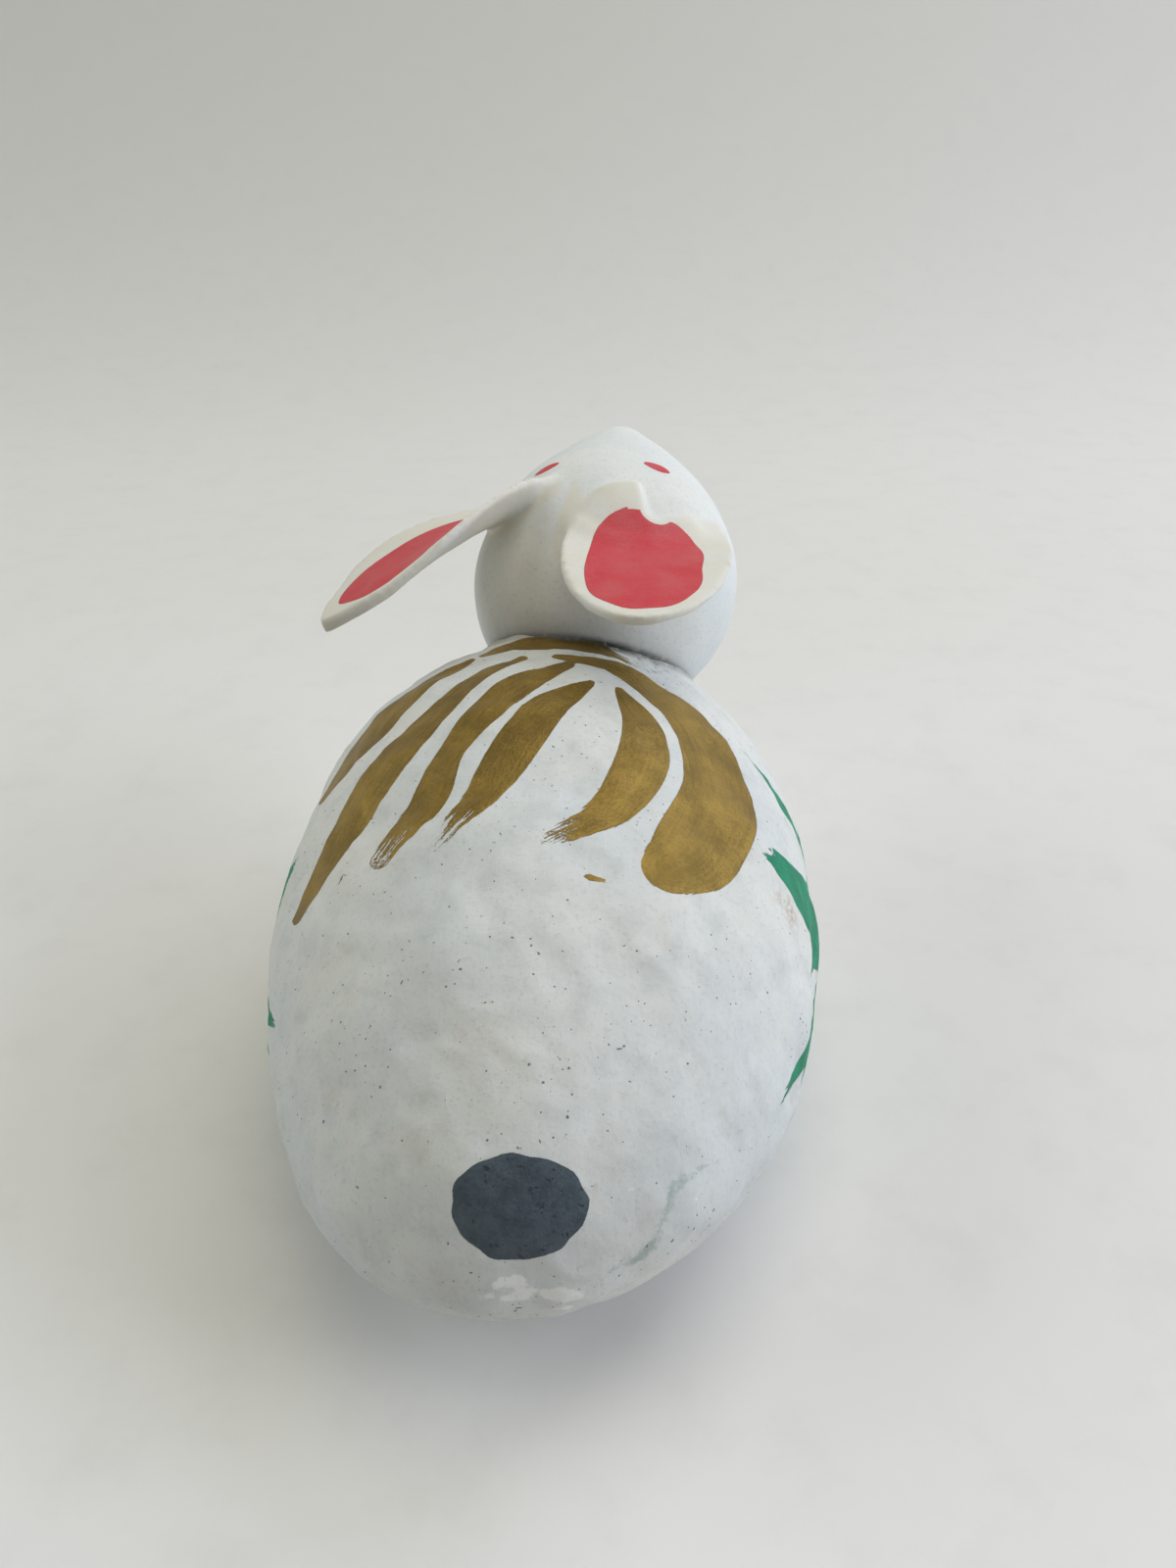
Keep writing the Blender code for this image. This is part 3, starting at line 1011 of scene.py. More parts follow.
class PaintedPaper:
    """A material of chalk-white ground with coats of paint over it."""

    def __init__(self, name: str, ground: GroundFinish, groups: dict[str, bpy.types.NodeTree]) -> None:
        """Start with the bare ground.

        Args:
            name: The material's name.
            ground: The marks of the ground.
            groups: The shared node groups, by name.
        """
        self.material = bpy.data.materials.new(name)
        self.material.use_nodes = True
        self.material.node_tree.nodes.clear()
        self.sketch = NodeSketch(self.material.node_tree)
        self.ground = ground
        self.groups = groups
        self.place = self.sketch.add("ShaderNodeTexCoord").outputs["Object"]
        chalk = self.sketch.add("ShaderNodeGroup", node_tree=groups["chalk"])
        for size in ("specks", "grime", "scratches", "clouds", "tone"):
            chalk.inputs[size.title()].default_value = getattr(ground, size)
        self.sketch.feed(chalk.inputs["Place"], self.place)
        self.colour = chalk.outputs["Color"]
        self.height = chalk.outputs["Height"]
        self.roughness = chalk.outputs["Roughness"]
        self.metallic: bpy.types.NodeSocket | None = None
        self.masks: dict[Paint, bpy.types.NodeSocket] = {}

    def value(self, name: str) -> bpy.types.NodeSocket:
        """Read one value stored at the vertices."""
        return self.sketch.add("ShaderNodeAttribute", attribute_name=name).outputs["Fac"]

    def cover(self, coat: PaintFinish) -> None:
        """Brush one paint over what is there.

        Args:
            coat: The paint.
        """
        sketch = self.sketch
        brush = sketch.add("ShaderNodeGroup", node_tree=self.groups["brush"])
        for name in STROKE_VALUES:
            sketch.feed(brush.inputs[name.title()], self.value(coat.paint.value + "_" + name))
        sketch.feed(brush.inputs["Place"], self.place)
        brush.inputs["Ragged"].default_value = coat.ragged
        brush.inputs["Streaks"].default_value = coat.streaks
        mask = brush.outputs["Mask"]
        self.masks[coat.paint] = mask
        mottle = sketch.noise(self.place, coat.mottle_scale, 4.0, 0.6)
        grain = sketch.noise(self.place, coat.grain_scale, 3.0, 0.7)
        tone = sketch.plus(sketch.times(mottle, 0.42), sketch.times(grain, 0.33))
        tone = sketch.plus(tone, sketch.times(brush.outputs["Streak"], 0.25))
        colour = sketch.mix(sketch.remap(tone, 0.38, 0.62), coat.deep, coat.light)
        self.colour = sketch.mix(mask, self.colour, colour)
        rough = sketch.remap(grain, 0.3, 0.7, coat.roughness - 0.06, coat.roughness + 0.08)
        blend = sketch.add("ShaderNodeMix", {0: mask, 2: self.roughness, 3: rough}, data_type="FLOAT")
        self.roughness = blend.outputs[0]
        film = sketch.times(mask, sketch.plus(0.35, sketch.times(grain, 0.4)))
        self.height = sketch.plus(self.height, film)
        if coat.metallic > 0.0:
            glint = sketch.times(sketch.remap(grain, 0.25, 0.45, 0.6, 1.0), coat.metallic)
            self.metallic = sketch.times(mask, glint)

    def tint(self, mask: bpy.types.NodeSocket, colour: Colour) -> None:
        """Lay a colour over everything where the mask says."""
        self.colour = self.sketch.mix(mask, self.colour, colour)

    def soak(self, stain_or_shade: StainAndShade, noise: bpy.types.NodeSocket) -> None:
        """Lay a soft stain, tone or painted shade.

        Args:
            stain_or_shade: The stain, tone or painted shade.
            noise: Noise that thins it where it is low.
        """
        torn = self.sketch.remap(noise, stain_or_shade.low, stain_or_shade.high, stain_or_shade.least)
        shown = self.sketch.times(self.value(stain_or_shade.value), torn)
        self.tint(self.sketch.times(shown, stain_or_shade.strength), stain_or_shade.colour)

    def rub(self, stain_or_shade: StainAndShade, uneven: bpy.types.NodeSocket) -> None:
        """Lay a rubbed mark.

        Args:
            stain_or_shade: The mark.
            uneven: Noise about zero that moves its edge in and out.
        """
        moved = self.sketch.plus(self.value(stain_or_shade.value), uneven)
        shown = self.sketch.remap(moved, stain_or_shade.low, stain_or_shade.high, stain_or_shade.least)
        self.tint(self.sketch.times(shown, stain_or_shade.strength), stain_or_shade.colour)

    def finish(self, specular: float = 0.32) -> bpy.types.Material:
        """Join everything to the surface shader.

        Args:
            specular: Level of the shader's reflection.

        Returns:
            The material.
        """
        held = {"Strength": 1.0, "Distance": self.ground.relief, "Height": self.height}
        normal = self.sketch.add("ShaderNodeBump", held)
        values = {"Base Color": self.colour, "Roughness": self.roughness, "Normal": normal.outputs[0]}
        if self.metallic is not None:
            values["Metallic"] = self.metallic
        shader = self.sketch.add("ShaderNodeBsdfPrincipled", values)
        shader.inputs["Specular IOR Level"].default_value = specular
        self.sketch.add("ShaderNodeOutputMaterial", {"Surface": shader.outputs[0]})
        return self.material


@dataclass(frozen=True)
class PastedPaper:
    """Soft lumps and creases that pasted paper leaves, made by Geometry Nodes.

    Each size is an input of the tree, named after it. The relief starts above the height FLAT_TO and is
    whole from WHOLE_FROM upwards, so the underside stays flat.
    """

    lump_depth: float
    lump_scale: float
    patch_depth: float
    patch_scale: float
    crease_depth: float
    crease_scale: float
    seed: float

    FLAT_TO = 0.0005
    WHOLE_FROM = 0.006
    PATCH_SOFTNESS = 0.35

    @classmethod
    def inputs(cls) -> dict[str, str]:
        """Name the tree's inputs after the sizes that set them."""
        return {size.name.replace("_", " ").title(): size.name for size in fields(cls)}

    @classmethod
    def tree(cls) -> bpy.types.NodeTree:
        """Build the tree, once for all pieces.

        Returns:
            The tree.
        """
        tree = bpy.data.node_groups.new("pasted_paper", "GeometryNodeTree")
        tree.interface.new_socket("Geometry", in_out="INPUT", socket_type="NodeSocketGeometry")
        for name in cls.inputs():
            tree.interface.new_socket(name, in_out="INPUT", socket_type="NodeSocketFloat")
        tree.interface.new_socket("Material", in_out="INPUT", socket_type="NodeSocketMaterial")
        tree.interface.new_socket("Geometry", in_out="OUTPUT", socket_type="NodeSocketGeometry")
        sketch = NodeSketch(tree)
        given = sketch.add("NodeGroupInput").outputs
        place = sketch.add("GeometryNodeInputPosition").outputs[0]
        normal = sketch.add("GeometryNodeInputNormal").outputs[0]
        level = sketch.add("ShaderNodeSeparateXYZ", {0: place}).outputs[2]
        above = sketch.remap(level, cls.FLAT_TO, cls.WHOLE_FROM)
        rise = sketch.times(cls.relief(sketch, given, place), above)
        offset = sketch.add("ShaderNodeVectorMath", {0: normal, "Scale": rise}, operation="SCALE").outputs[0]
        held = {"Geometry": given["Geometry"], "Offset": offset}
        moved = sketch.add("GeometryNodeSetPosition", held).outputs[0]
        smooth = sketch.add("GeometryNodeSetShadeSmooth", {"Geometry": moved}).outputs[0]
        real = sketch.add("GeometryNodeRealizeInstances", {0: smooth}).outputs[0]
        held = {"Geometry": real, "Material": given["Material"]}
        sketch.add("NodeGroupOutput", {"Geometry": sketch.add("GeometryNodeSetMaterial", held).outputs[0]})
        return tree

    @classmethod
    def relief(cls, sketch: NodeSketch, given: bpy.types.NodeOutputs,
               place: bpy.types.NodeSocket) -> bpy.types.NodeSocket:
        """Add up lumps, creases and the pasted patches.

        Args:
            sketch: The tree.
            given: The tree's inputs.
            place: Each vertex's place.

        Returns:
            How far each vertex moves outwards, in metres.
        """
        def wave(kind: str, detail: float) -> bpy.types.NodeSocket:
            """Make noise about zero, at the scale and depth of one kind of mark.

            Args:
                kind: The mark, as it is named in the inputs.
                detail: Levels of finer noise.

            Returns:
                The wave.
            """
            held = {"Vector": place, "W": given["Seed"], "Scale": given[kind + " Scale"], "Detail": detail}
            noise = sketch.add("ShaderNodeTexNoise", held, noise_dimensions="4D").outputs[0]
            return sketch.times(sketch.minus(noise, 0.5), given[kind + " Depth"])

        creases = sketch.times(sketch.math("ABSOLUTE", wave("Crease", 2.0)), -2.0)
        held = {"Vector": place, "Scale": given["Patch Scale"], "Smoothness": cls.PATCH_SOFTNESS}
        cells = sketch.add("ShaderNodeTexVoronoi", held, feature="SMOOTH_F1", voronoi_dimensions="3D")
        patches = sketch.times(sketch.minus(0.5, cells.outputs["Distance"]), given["Patch Depth"])
        return sketch.plus(sketch.plus(wave("Lump", 1.0), creases), patches)

    def apply(self, piece: bpy.types.Object, tree: bpy.types.NodeTree, material: bpy.types.Material) -> None:
        """Run the tree on a piece and keep its result as the piece's plain mesh.

        Args:
            piece: The piece.
            tree: The tree from tree().
            material: The finish that the tree sets.
        """
        modifier = piece.modifiers.new("pasted_paper", "NODES")
        modifier.node_group = tree
        sockets = {item.name: item.identifier for item in tree.interface.items_tree if item.in_out == "INPUT"}
        for name, size in self.inputs().items():
            modifier[sockets[name]] = getattr(self, size)
        modifier[sockets["Material"]] = material
        bake_modifiers(piece)


BODY_RELIEF = PastedPaper(
    lump_depth=0.0034, lump_scale=26.0, patch_depth=0.0012, patch_scale=80.0,
    crease_depth=0.0011, crease_scale=95.0, seed=3.0,
)
HEAD_RELIEF = PastedPaper(
    lump_depth=0.0007, lump_scale=60.0, patch_depth=0.00030, patch_scale=90.0,
    crease_depth=0.00010, crease_scale=240.0, seed=9.0,
)


def bake_modifiers(piece: bpy.types.Object) -> None:
    """Turn a piece's modifiers into its plain mesh.

    Args:
        piece: The piece.
    """
    depsgraph = bpy.context.evaluated_depsgraph_get()
    depsgraph.update()
    solid = bpy.data.meshes.new_from_object(
        piece.evaluated_get(depsgraph), preserve_all_data_layers=True, depsgraph=depsgraph
    )
    worn = piece.data
    piece.modifiers.clear()
    piece.data = solid
    solid.name = piece.name
    bpy.data.meshes.remove(worn)


def mesh_object(name: str, made: bmesh.types.BMesh) -> bpy.types.Object:
    """Turn a bmesh into a linked object.

    Args:
        name: The object's name.
        made: The bmesh, which is freed.

    Returns:
        The object.
    """
    mesh = bpy.data.meshes.new(name)
    made.to_mesh(mesh)
    made.free()
    piece = bpy.data.objects.new(name, mesh)
    bpy.context.collection.objects.link(piece)
    return piece


def vertex_arrays(mesh: bpy.types.Mesh) -> tuple[np.ndarray, np.ndarray]:
    """Read a mesh's vertices.

    Args:
        mesh: The mesh.

    Returns:
        Their places and their normals, one per row.
    """
    count = len(mesh.vertices)
    places, normals = np.empty(count * 3), np.empty(count * 3)
    mesh.vertices.foreach_get("co", places)
    mesh.vertex_normals.foreach_get("vector", normals)
    return places.reshape(-1, 3), normals.reshape(-1, 3)


BACK_CHART = Chart(right=(1.0, 0.0, 0.0), up=(0.0, 0.866, 0.5), facing=(0.0, -0.4, 0.917))
RIGHT_CHART = Chart(right=(0.0, 1.0, 0.0), up=(0.0, 0.0, 1.0), facing=(1.0, 0.0, 0.25))
LEFT_CHART = Chart(right=(0.0, 1.0, 0.0), up=(0.0, 0.0, 1.0), facing=(-1.0, 0.0, 0.25))
TOP_CHART = Chart(right=(1.0, 0.0, 0.0), up=(0.0, 1.0, 0.0), facing=(0.0, 0.0, 1.0))
TAIL_CHART = Chart(right=(1.0, 0.0, 0.0), up=(0.0, 0.5, 0.866), facing=(0.0, -1.0, 0.3))


@dataclass(frozen=True)
class BladeSpray:
    """Loose blades of one paint, brushed on one side of the body."""

    chart: Chart
    blades: tuple[Stroke, ...]

    def paint(self, coat: PaintCoat, places: np.ndarray, normals: np.ndarray) -> None:
        """Lay the blades on the coat.

        Args:
            coat: The coat.
            places: Places of the piece's vertices.
            normals: Their normals.
        """
        flat, facing = self.chart.flatten(places, normals)
        for turn, blade in enumerate(self.blades):
            coat.lay(blade, flat, facing, turn)


# Gold grass blades on the back, bending to both sides: across and up the back.
GOLD_BLADES = BladeSpray(BACK_CHART, (
    Stroke(((-12.0, 40.0, 2.0), (-3.0, 41.8, 4.6), (7.0, 40.2, 4.0), (14.0, 36.0, 1.2)), dry=0.35),
    Stroke(((-14.0, 38.5, 1.2), (-24.0, 29.5, 5.5), (-31.0, 20.0, 6.5), (-36.0, 11.0, 1.6))),
    Stroke(((-5.0, 36.0, 2.2), (-14.0, 27.0, 4.6), (-24.0, 10.0, 7.0), (-30.0, -3.0, 5.0),
            (-34.3, -13.0, 2.4))),
    Stroke(((3.0, 33.0, 2.4), (-6.0, 24.0, 6.4), (-13.0, 12.0, 4.6), (-15.5, 1.0, 6.2), (-21.0, -8.0, 3.6)),
           dry=0.3, finish_dryness=0.8),
    Stroke(((7.0, 27.5, 1.4), (1.0, 20.5, 6.4), (-3.5, 11.0, 7.6), (-7.5, 0.5, 5.2), (-13.0, -8.0, 1.8)),
           dry=0.4),
    Stroke(((1.0, 36.0, 1.8), (12.0, 33.0, 4.2), (23.0, 22.5, 8.0), (26.8, 8.0, 11.0), (23.0, -5.0, 12.2),
            (19.0, -10.0, 8.0)), dry=0.12, finish_dryness=0.5),
    Stroke(((11.5, 27.0, 1.6), (15.0, 19.0, 5.8), (15.0, 9.0, 7.8), (10.5, -1.0, 6.0), (2.5, -7.5, 2.0)),
           dry=0.42, finish_dryness=0.9),
    Stroke(((8.0, -13.0, 1.1), (10.4, -13.6, 0.6)), dry=0.6),
    Stroke(((-26.5, -9.0, 0.9), (-27.6, -11.0, 0.5)), dry=0.6),
))

# Bamboo leaves on the flanks, fanned out from a stem low on the hidden side: forward and up.
FRONT_LEAVES = (
    Stroke(((-23.0, 24.0, 1.5), (-12.0, 27.0, 7.5), (0.0, 33.0, 5.5), (11.0, 40.0, 0.4)), dry=0.25),
    Stroke(((-23.0, 22.0, 1.5), (-10.0, 19.0, 6.5), (3.0, 20.0, 4.5), (14.0, 24.0, 0.4)), dry=0.3),
    Stroke(((-24.0, 20.0, 1.2), (-32.0, 14.0, 5.5), (-41.0, 11.0, 3.5), (-49.0, 10.5, 0.4)), dry=0.3),
)
STEM = Stroke(((-24.0, 24.0, 2.0), (-20.0, 15.0, 1.3), (-18.0, 7.0, 0.8)), dry=0.4)
RIGHT_LEAVES = BladeSpray(RIGHT_CHART, FRONT_LEAVES + (
    STEM,
    Stroke(((-22.0, 25.0, 2.0), (-11.0, 34.0, 4.5), (-6.8, 41.5, 4.6), (-6.6, 47.0, 3.6), (-7.6, 56.0, 0.2)),
           dry=0.2),
    Stroke(((-24.0, 24.0, 4.0), (-27.0, 34.0, 13.0), (-29.3, 42.5, 9.4), (-30.6, 47.5, 4.6),
            (-32.4, 52.4, 0.2)), dry=0.1),
    Stroke(((-27.5, 42.0, 6.0), (-28.4, 47.4, 2.6), (-29.6, 52.0, 0.2)), dry=0.3),
    Stroke(((-22.5, 26.0, 3.0), (-20.5, 34.0, 5.4), (-19.4, 39.0, 2.4), (-20.2, 41.8, 0.2)), dry=0.1),
    Stroke(((-26.0, 27.0, 3.0), (-31.0, 33.0, 5.0), (-36.5, 36.0, 2.2), (-40.0, 36.0, 0.2)), dry=0.1),
    Stroke(((-26.0, 24.0, 2.5), (-37.0, 28.0, 5.6), (-48.0, 29.9, 4.0), (-55.0, 31.0, 2.2),
            (-61.8, 32.2, 0.2)), dry=0.2),
    Stroke(((-42.0, 28.4, 4.0), (-49.0, 28.2, 2.6), (-53.6, 26.6, 0.2)), dry=0.2),
))
LEFT_LEAVES = BladeSpray(LEFT_CHART, FRONT_LEAVES + (
    STEM,
    Stroke(((-22.0, 25.0, 2.0), (-12.0, 33.0, 5.0), (-8.0, 39.0, 3.6), (-7.0, 44.0, 0.3)), dry=0.2),
    Stroke(((-24.0, 24.0, 3.5), (-26.5, 34.0, 9.0), (-27.5, 41.0, 4.4), (-28.6, 48.2, 0.2)), dry=0.15),
    Stroke(((-25.5, 34.0, 5.0), (-25.0, 40.0, 2.4), (-25.6, 45.0, 0.2)), dry=0.2),
    Stroke(((-26.0, 24.0, 2.5), (-37.0, 29.0, 6.0), (-46.0, 32.5, 3.4), (-53.6, 36.4, 0.2)), dry=0.2),
    Stroke(((-38.0, 28.0, 4.0), (-46.0, 29.2, 2.4), (-52.0, 29.0, 0.2)), dry=0.2),
))


@dataclass(frozen=True)
class TailSpot:
    """The round dark spot that stands for the tail, in millimetres on its chart."""

    centre: tuple[float, float] = (1.2, -9.5)
    half_width: float = 7.85
    half_height: float = 6.15
    edge_waves: tuple[Triple, ...] = ((0.022, 3.0, 0.7), (0.016, 7.0, 2.0), (0.014, 12.0, 0.0))
    foremost: float = -0.06

    def paint(self, places: np.ndarray, normals: np.ndarray) -> PaintCoat:
        """Fill the spot, with a slightly uneven hand-cut edge.

        Args:
            places: Places of the body's vertices.
            normals: Their normals.

        Returns:
            The dark coat.
        """
        coat = PaintCoat(Paint.SLATE, len(places))
        flat, facing = TAIL_CHART.flatten(places, normals)
        x = (flat[:, 0] - self.centre[0]) / self.half_width
        y = (flat[:, 1] - self.centre[1]) / self.half_height
        wobble = uneven_edge(np.arctan2(y, x), self.edge_waves)
        inside = (1.0 + wobble - np.hypot(x, y)) * self.half_height
        coat.merge(np.where(facing & (places[:, 1] < self.foremost), inside, FAR_OUTSIDE))
        coat.leave_no_streaks()
        return coat


@dataclass(frozen=True)
class WornAndShadedPlace:
    """A soft worn, stained or shaded place: its middle and its reach each way, in millimetres."""

    middle: Triple
    reach: Triple


@dataclass(frozen=True)
class WearAndShade:
    """Worn, stained or shaded places of one kind on the body."""

    name: str
    spots: tuple[WornAndShadedPlace, ...]

    def store(self, piece: bpy.types.Object, places: np.ndarray) -> None:
        """Write how strongly each vertex is worn, stained or shaded.

        Args:
            piece: The body.
            places: Places of its vertices.
        """
        value = np.zeros(len(places))
        for spot in self.spots:
            offset = (places / MM - np.array(spot.middle)) / np.array(spot.reach)
            value = np.maximum(value, np.exp(-(offset ** 2).sum(axis=1)))
        store_value(piece.data, self.name, value)


WEAR_AND_SHADE = (
    WearAndShade("smudge", (WornAndShadedPlace((36.4, -37.0, 46.0), (2.2, 2.4, 3.6)),)),
    # Dark speckles on the lip's far slope: dark residue, with painted shade where the lip turns from the
    # light.
    WearAndShade("mould", (
        WornAndShadedPlace((17.0, 6.5, 65.0), (5.5, 5.0, 3.5)),
        WornAndShadedPlace((8.0, 6.5, 67.5), (4.0, 3.0, 3.0)),
    )),
)


@dataclass(frozen=True)
class RubbedMark:
    """A rubbed or smeared mark beside the tail, drawn by strokes with soft edges."""

    name: str
    softness: float
    strokes: tuple[Stroke, ...]

    def store(self, piece: bpy.types.Object, places: np.ndarray, normals: np.ndarray) -> None:
        """Write how strongly each vertex is marked.

        Args:
            piece: The body.
            places: Places of its vertices.
            normals: Their normals.
        """
        flat, facing = TAIL_CHART.flatten(places, normals)
        value = np.zeros(len(places))
        for stroke in self.strokes:
            near = np.where(facing & stroke.nearby(flat))[0]
            inside = stroke.measure(flat[near])["inside"]
            value[near] = np.maximum(value[near], smooth_step(-self.softness, self.softness, inside))
        store_value(piece.data, self.name, value)


RUBBED_MARKS = (
    RubbedMark("smear", 1.0, (
        Stroke(((25.4, -7.0, 0.4), (22.3, -7.5, 1.0), (19.6, -8.4, 1.8), (18.2, -11.4, 1.4),
                (17.3, -13.8, 1.6), (15.4, -16.8, 1.8), (12.8, -17.6, 1.2), (10.0, -18.8, 0.6))),
    )),
    RubbedMark("chips", 0.7, (
        Stroke(((-1.4, -18.8, 1.4), (1.2, -18.5, 1.8))),
        Stroke(((-0.6, -21.0, 1.2), (1.4, -20.4, 2.2), (3.2, -20.1, 1.4))),
        Stroke(((4.2, -20.4, 1.6), (6.0, -20.6, 2.6), (8.2, -20.9, 1.4))),
        Stroke(((-3.8, -20.5, 0.6), (-2.2, -20.1, 1.2))),
        Stroke(((5.2, -23.4, 1.0), (6.8, -23.2, 1.4))),
        Stroke(((21.4, -10.9, 0.9), (22.0, -10.8, 0.8))),
        Stroke(((13.5, -8.2, 0.5), (14.4, -8.0, 0.8))),
    )),
)


@dataclass(frozen=True)
class Fullness:
    """A place where the hand-moulded body is a little fuller than a true egg."""

    towards: Triple
    spread: float
    rise: float

    def lift(self, s: np.ndarray) -> np.ndarray:
        """Give the added height.

        Args:
            s: Unit directions, one per row.

        Returns:
            Heights in metres.
        """
        middle = unit(np.array([self.towards]))[0]
        apart = np.arccos(np.clip(s @ middle, -1.0, 1.0))
        return self.rise * np.exp(-(apart / self.spread) ** 2)


@dataclass(frozen=True)
class NeckShade:
    """Painted shade round the neck: a dark line in the gap between head and body, deepest behind the right
    ear and faint in front.

    The line is whole up to the near gap and gone from the far gap. Gaps and places across are in
    millimetres, places forward in metres.
    """

    near_gap: float
    far_gap: float
    reach: float
    plain: float
    front_loss: float
    foremost: float = 1.0
    deepest: float = 9.0
    fade_from: float = 0.02
    fade_to: float = 0.045

    def line(self, gap: np.ndarray) -> np.ndarray:
        """Give how much of the line shows at gaps from the other piece."""
        return 1.0 - smooth_step(self.near_gap, self.far_gap, gap)

    def depth(self, places: np.ndarray) -> np.ndarray:
        """Give how dark the line is, by how near it is to its deepest place.

        Args:
            places: World points, one per row.

        Returns:
            Strengths from 0 to 1.
        """
        across = (places[:, 0] / MM - self.deepest) / self.reach
        glow = np.exp(-across ** 2) * (places[:, 1] < self.foremost)
        return self.plain + (1.0 - self.plain) * glow

    def behind(self, places: np.ndarray) -> np.ndarray:
        """Give 1 behind the head and less in front of it."""
        return 1.0 - self.front_loss * smooth_step(self.fade_from, self.fade_to, places[:, 1])


@dataclass
class RabbitBody:
    """The body: fine skin, raised lip and neck opening in one piece."""

    egg: BodyEgg
    head: HeadEgg
    turns: int = 352
    skin_rings: int = 206
    wall_rings: int = 24
    lip_rise: float = 0.0008
    lip_width: float = 0.0032
    lip_shares: tuple[tuple[float, float], ...] = (
        (0.0, 0.45), (0.1, 0.78), (0.22, 1.0), (0.36, 0.86), (0.5, 0.62), (0.65, 0.34), (0.8, 0.14),
    )
    seat_gap: float = 0.0007
    mouth_gap: float = 0.0030
    floor_depth: float = 0.02
    least_mouth_angle: float = 0.05
    mouth_halvings: int = 36
    fuller: tuple[Fullness, ...] = (
        Fullness((-0.45, -0.87, -0.18), 0.36, 0.0022), Fullness((0.80, -0.58, -0.08), 0.34, 0.0010),
    )
    shade: NeckShade = NeckShade(0.7, 2.2, reach=8.0, plain=0.35, front_loss=0.7, foremost=0.03)
    shade_depth: float = 0.026
    wall_depth: float = 0.05

    def __post_init__(self) -> None:
        """Set the neck's axes."""
        self.axis = unit((self.head.centre - self.egg.centre)[None])[0]
        self.across = unit(np.cross(self.axis, (0.0, 0.0, 1.0))[None])[0]
        self.up = np.cross(self.axis, self.across)
        self.socket_centre = self.head.centre + self.axis * (self.mouth_gap - self.seat_gap)

    def around_neck(self, polar: np.ndarray, turn: np.ndarray) -> np.ndarray:
        """Give unit directions at angles from the neck's axis, turned round it."""
        ring = np.outer(np.cos(turn), self.across) + np.outer(np.sin(turn), self.up)
        return np.cos(polar)[:, None] * self.axis + np.sin(polar)[:, None] * ring

    def socket_direction(self, points: np.ndarray) -> np.ndarray:
        """Give directions in the enlarged head that forms the neck opening."""
        local = (points - self.socket_centre) @ self.head.rotation
        return self.head.direction(local, self.mouth_gap)

    def skin(self, s: np.ndarray) -> np.ndarray:
        """Place unit directions on the body's skin, with its fuller places."""
        lift = sum(place.lift(s) for place in self.fuller)
        return self.egg.points(s) + self.egg.outward(s) * lift[:, None]

    def mouth_angles(self, turn: np.ndarray) -> np.ndarray:
        """Find where the skin meets the neck opening.

        Args:
            turn: Turns round the neck's axis.

        Returns:
            The angle from the axis for each turn.
        """
        inner, outer = np.full(len(turn), self.least_mouth_angle), np.full(len(turn), math.pi / 2.0)
        for _ in range(self.mouth_halvings):
            middle = (inner + outer) / 2.0
            points = self.egg.points(self.around_neck(middle, turn))
            held = np.linalg.norm(self.socket_direction(points), axis=1) < 1.0
            inner, outer = np.where(held, middle, inner), np.where(held, outer, middle)
        return outer

    def opening(self, edge: np.ndarray, turn: np.ndarray) -> list[np.ndarray]:
        """Shape the wall of the neck opening.

        Args:
            edge: Angles from the neck's axis at which the opening meets the skin.
            turn: Turns round that axis.

        Returns:
            Rings of world points, from the opening's floor up to just below its edge.
        """
        start = unit(self.socket_direction(self.egg.points(self.around_neck(edge, turn))))
        deepest = self.socket_centre - self.axis * self.floor_depth
        floor = unit(self.socket_direction(deepest[None]))[0]
        walls = []
        for ring in range(1, self.wall_rings):
            share = ring / self.wall_rings
            s = unit(start * (1.0 - share) + floor * share)
            walls.append(self.socket_centre + self.head.local(s, self.mouth_gap) @ self.head.rotation.T)
        return walls[::-1]

    def rings(self) -> list[np.ndarray]:
        """Shape the whole body round the neck's axis.

        Returns:
            Rings of world points, from the opening's floor over the lip to the far end of the skin.
        """
        turn = 2.0 * np.pi * np.arange(self.turns) / self.turns
        edge = self.mouth_angles(turn)
        scale = 2.0 / self.egg.width
        rings = self.opening(edge, turn)
        for share, height in self.lip_shares:
            s = self.around_neck(edge + self.lip_width * share * scale, turn)
            rings.append(self.egg.points(s) + self.egg.outward(s) * self.lip_rise * height)
        first = edge + self.lip_width * scale
        for ring in range(self.skin_rings):
            s = self.around_neck(first + (math.pi - first) * ring / self.skin_rings, turn)
            rings.append(self.skin(s))
        return rings

    def build(self) -> bpy.types.Object:
        """Skin the rings.

        Returns:
            The body, unpainted.
        """
        made = bmesh.new()
        loops = [[made.verts.new(point) for point in self.egg.press_flat(ring)] for ring in self.rings()]
        floor = made.verts.new(np.mean([vertex.co for vertex in loops[0]], axis=0))
        last = made.verts.new(self.egg.press_flat(self.skin(-self.axis[None]))[0])
        for step in range(self.turns):
            following = (step + 1) % self.turns
            made.faces.new((floor, loops[0][following], loops[0][step]))
            for near, far in zip(loops, loops[1:]):
                made.faces.new((near[step], near[following], far[following], far[step]))
            made.faces.new((loops[-1][step], loops[-1][following], last))
        bmesh.ops.recalc_face_normals(made, faces=made.faces[:])
        return mesh_object("paper_body", made)

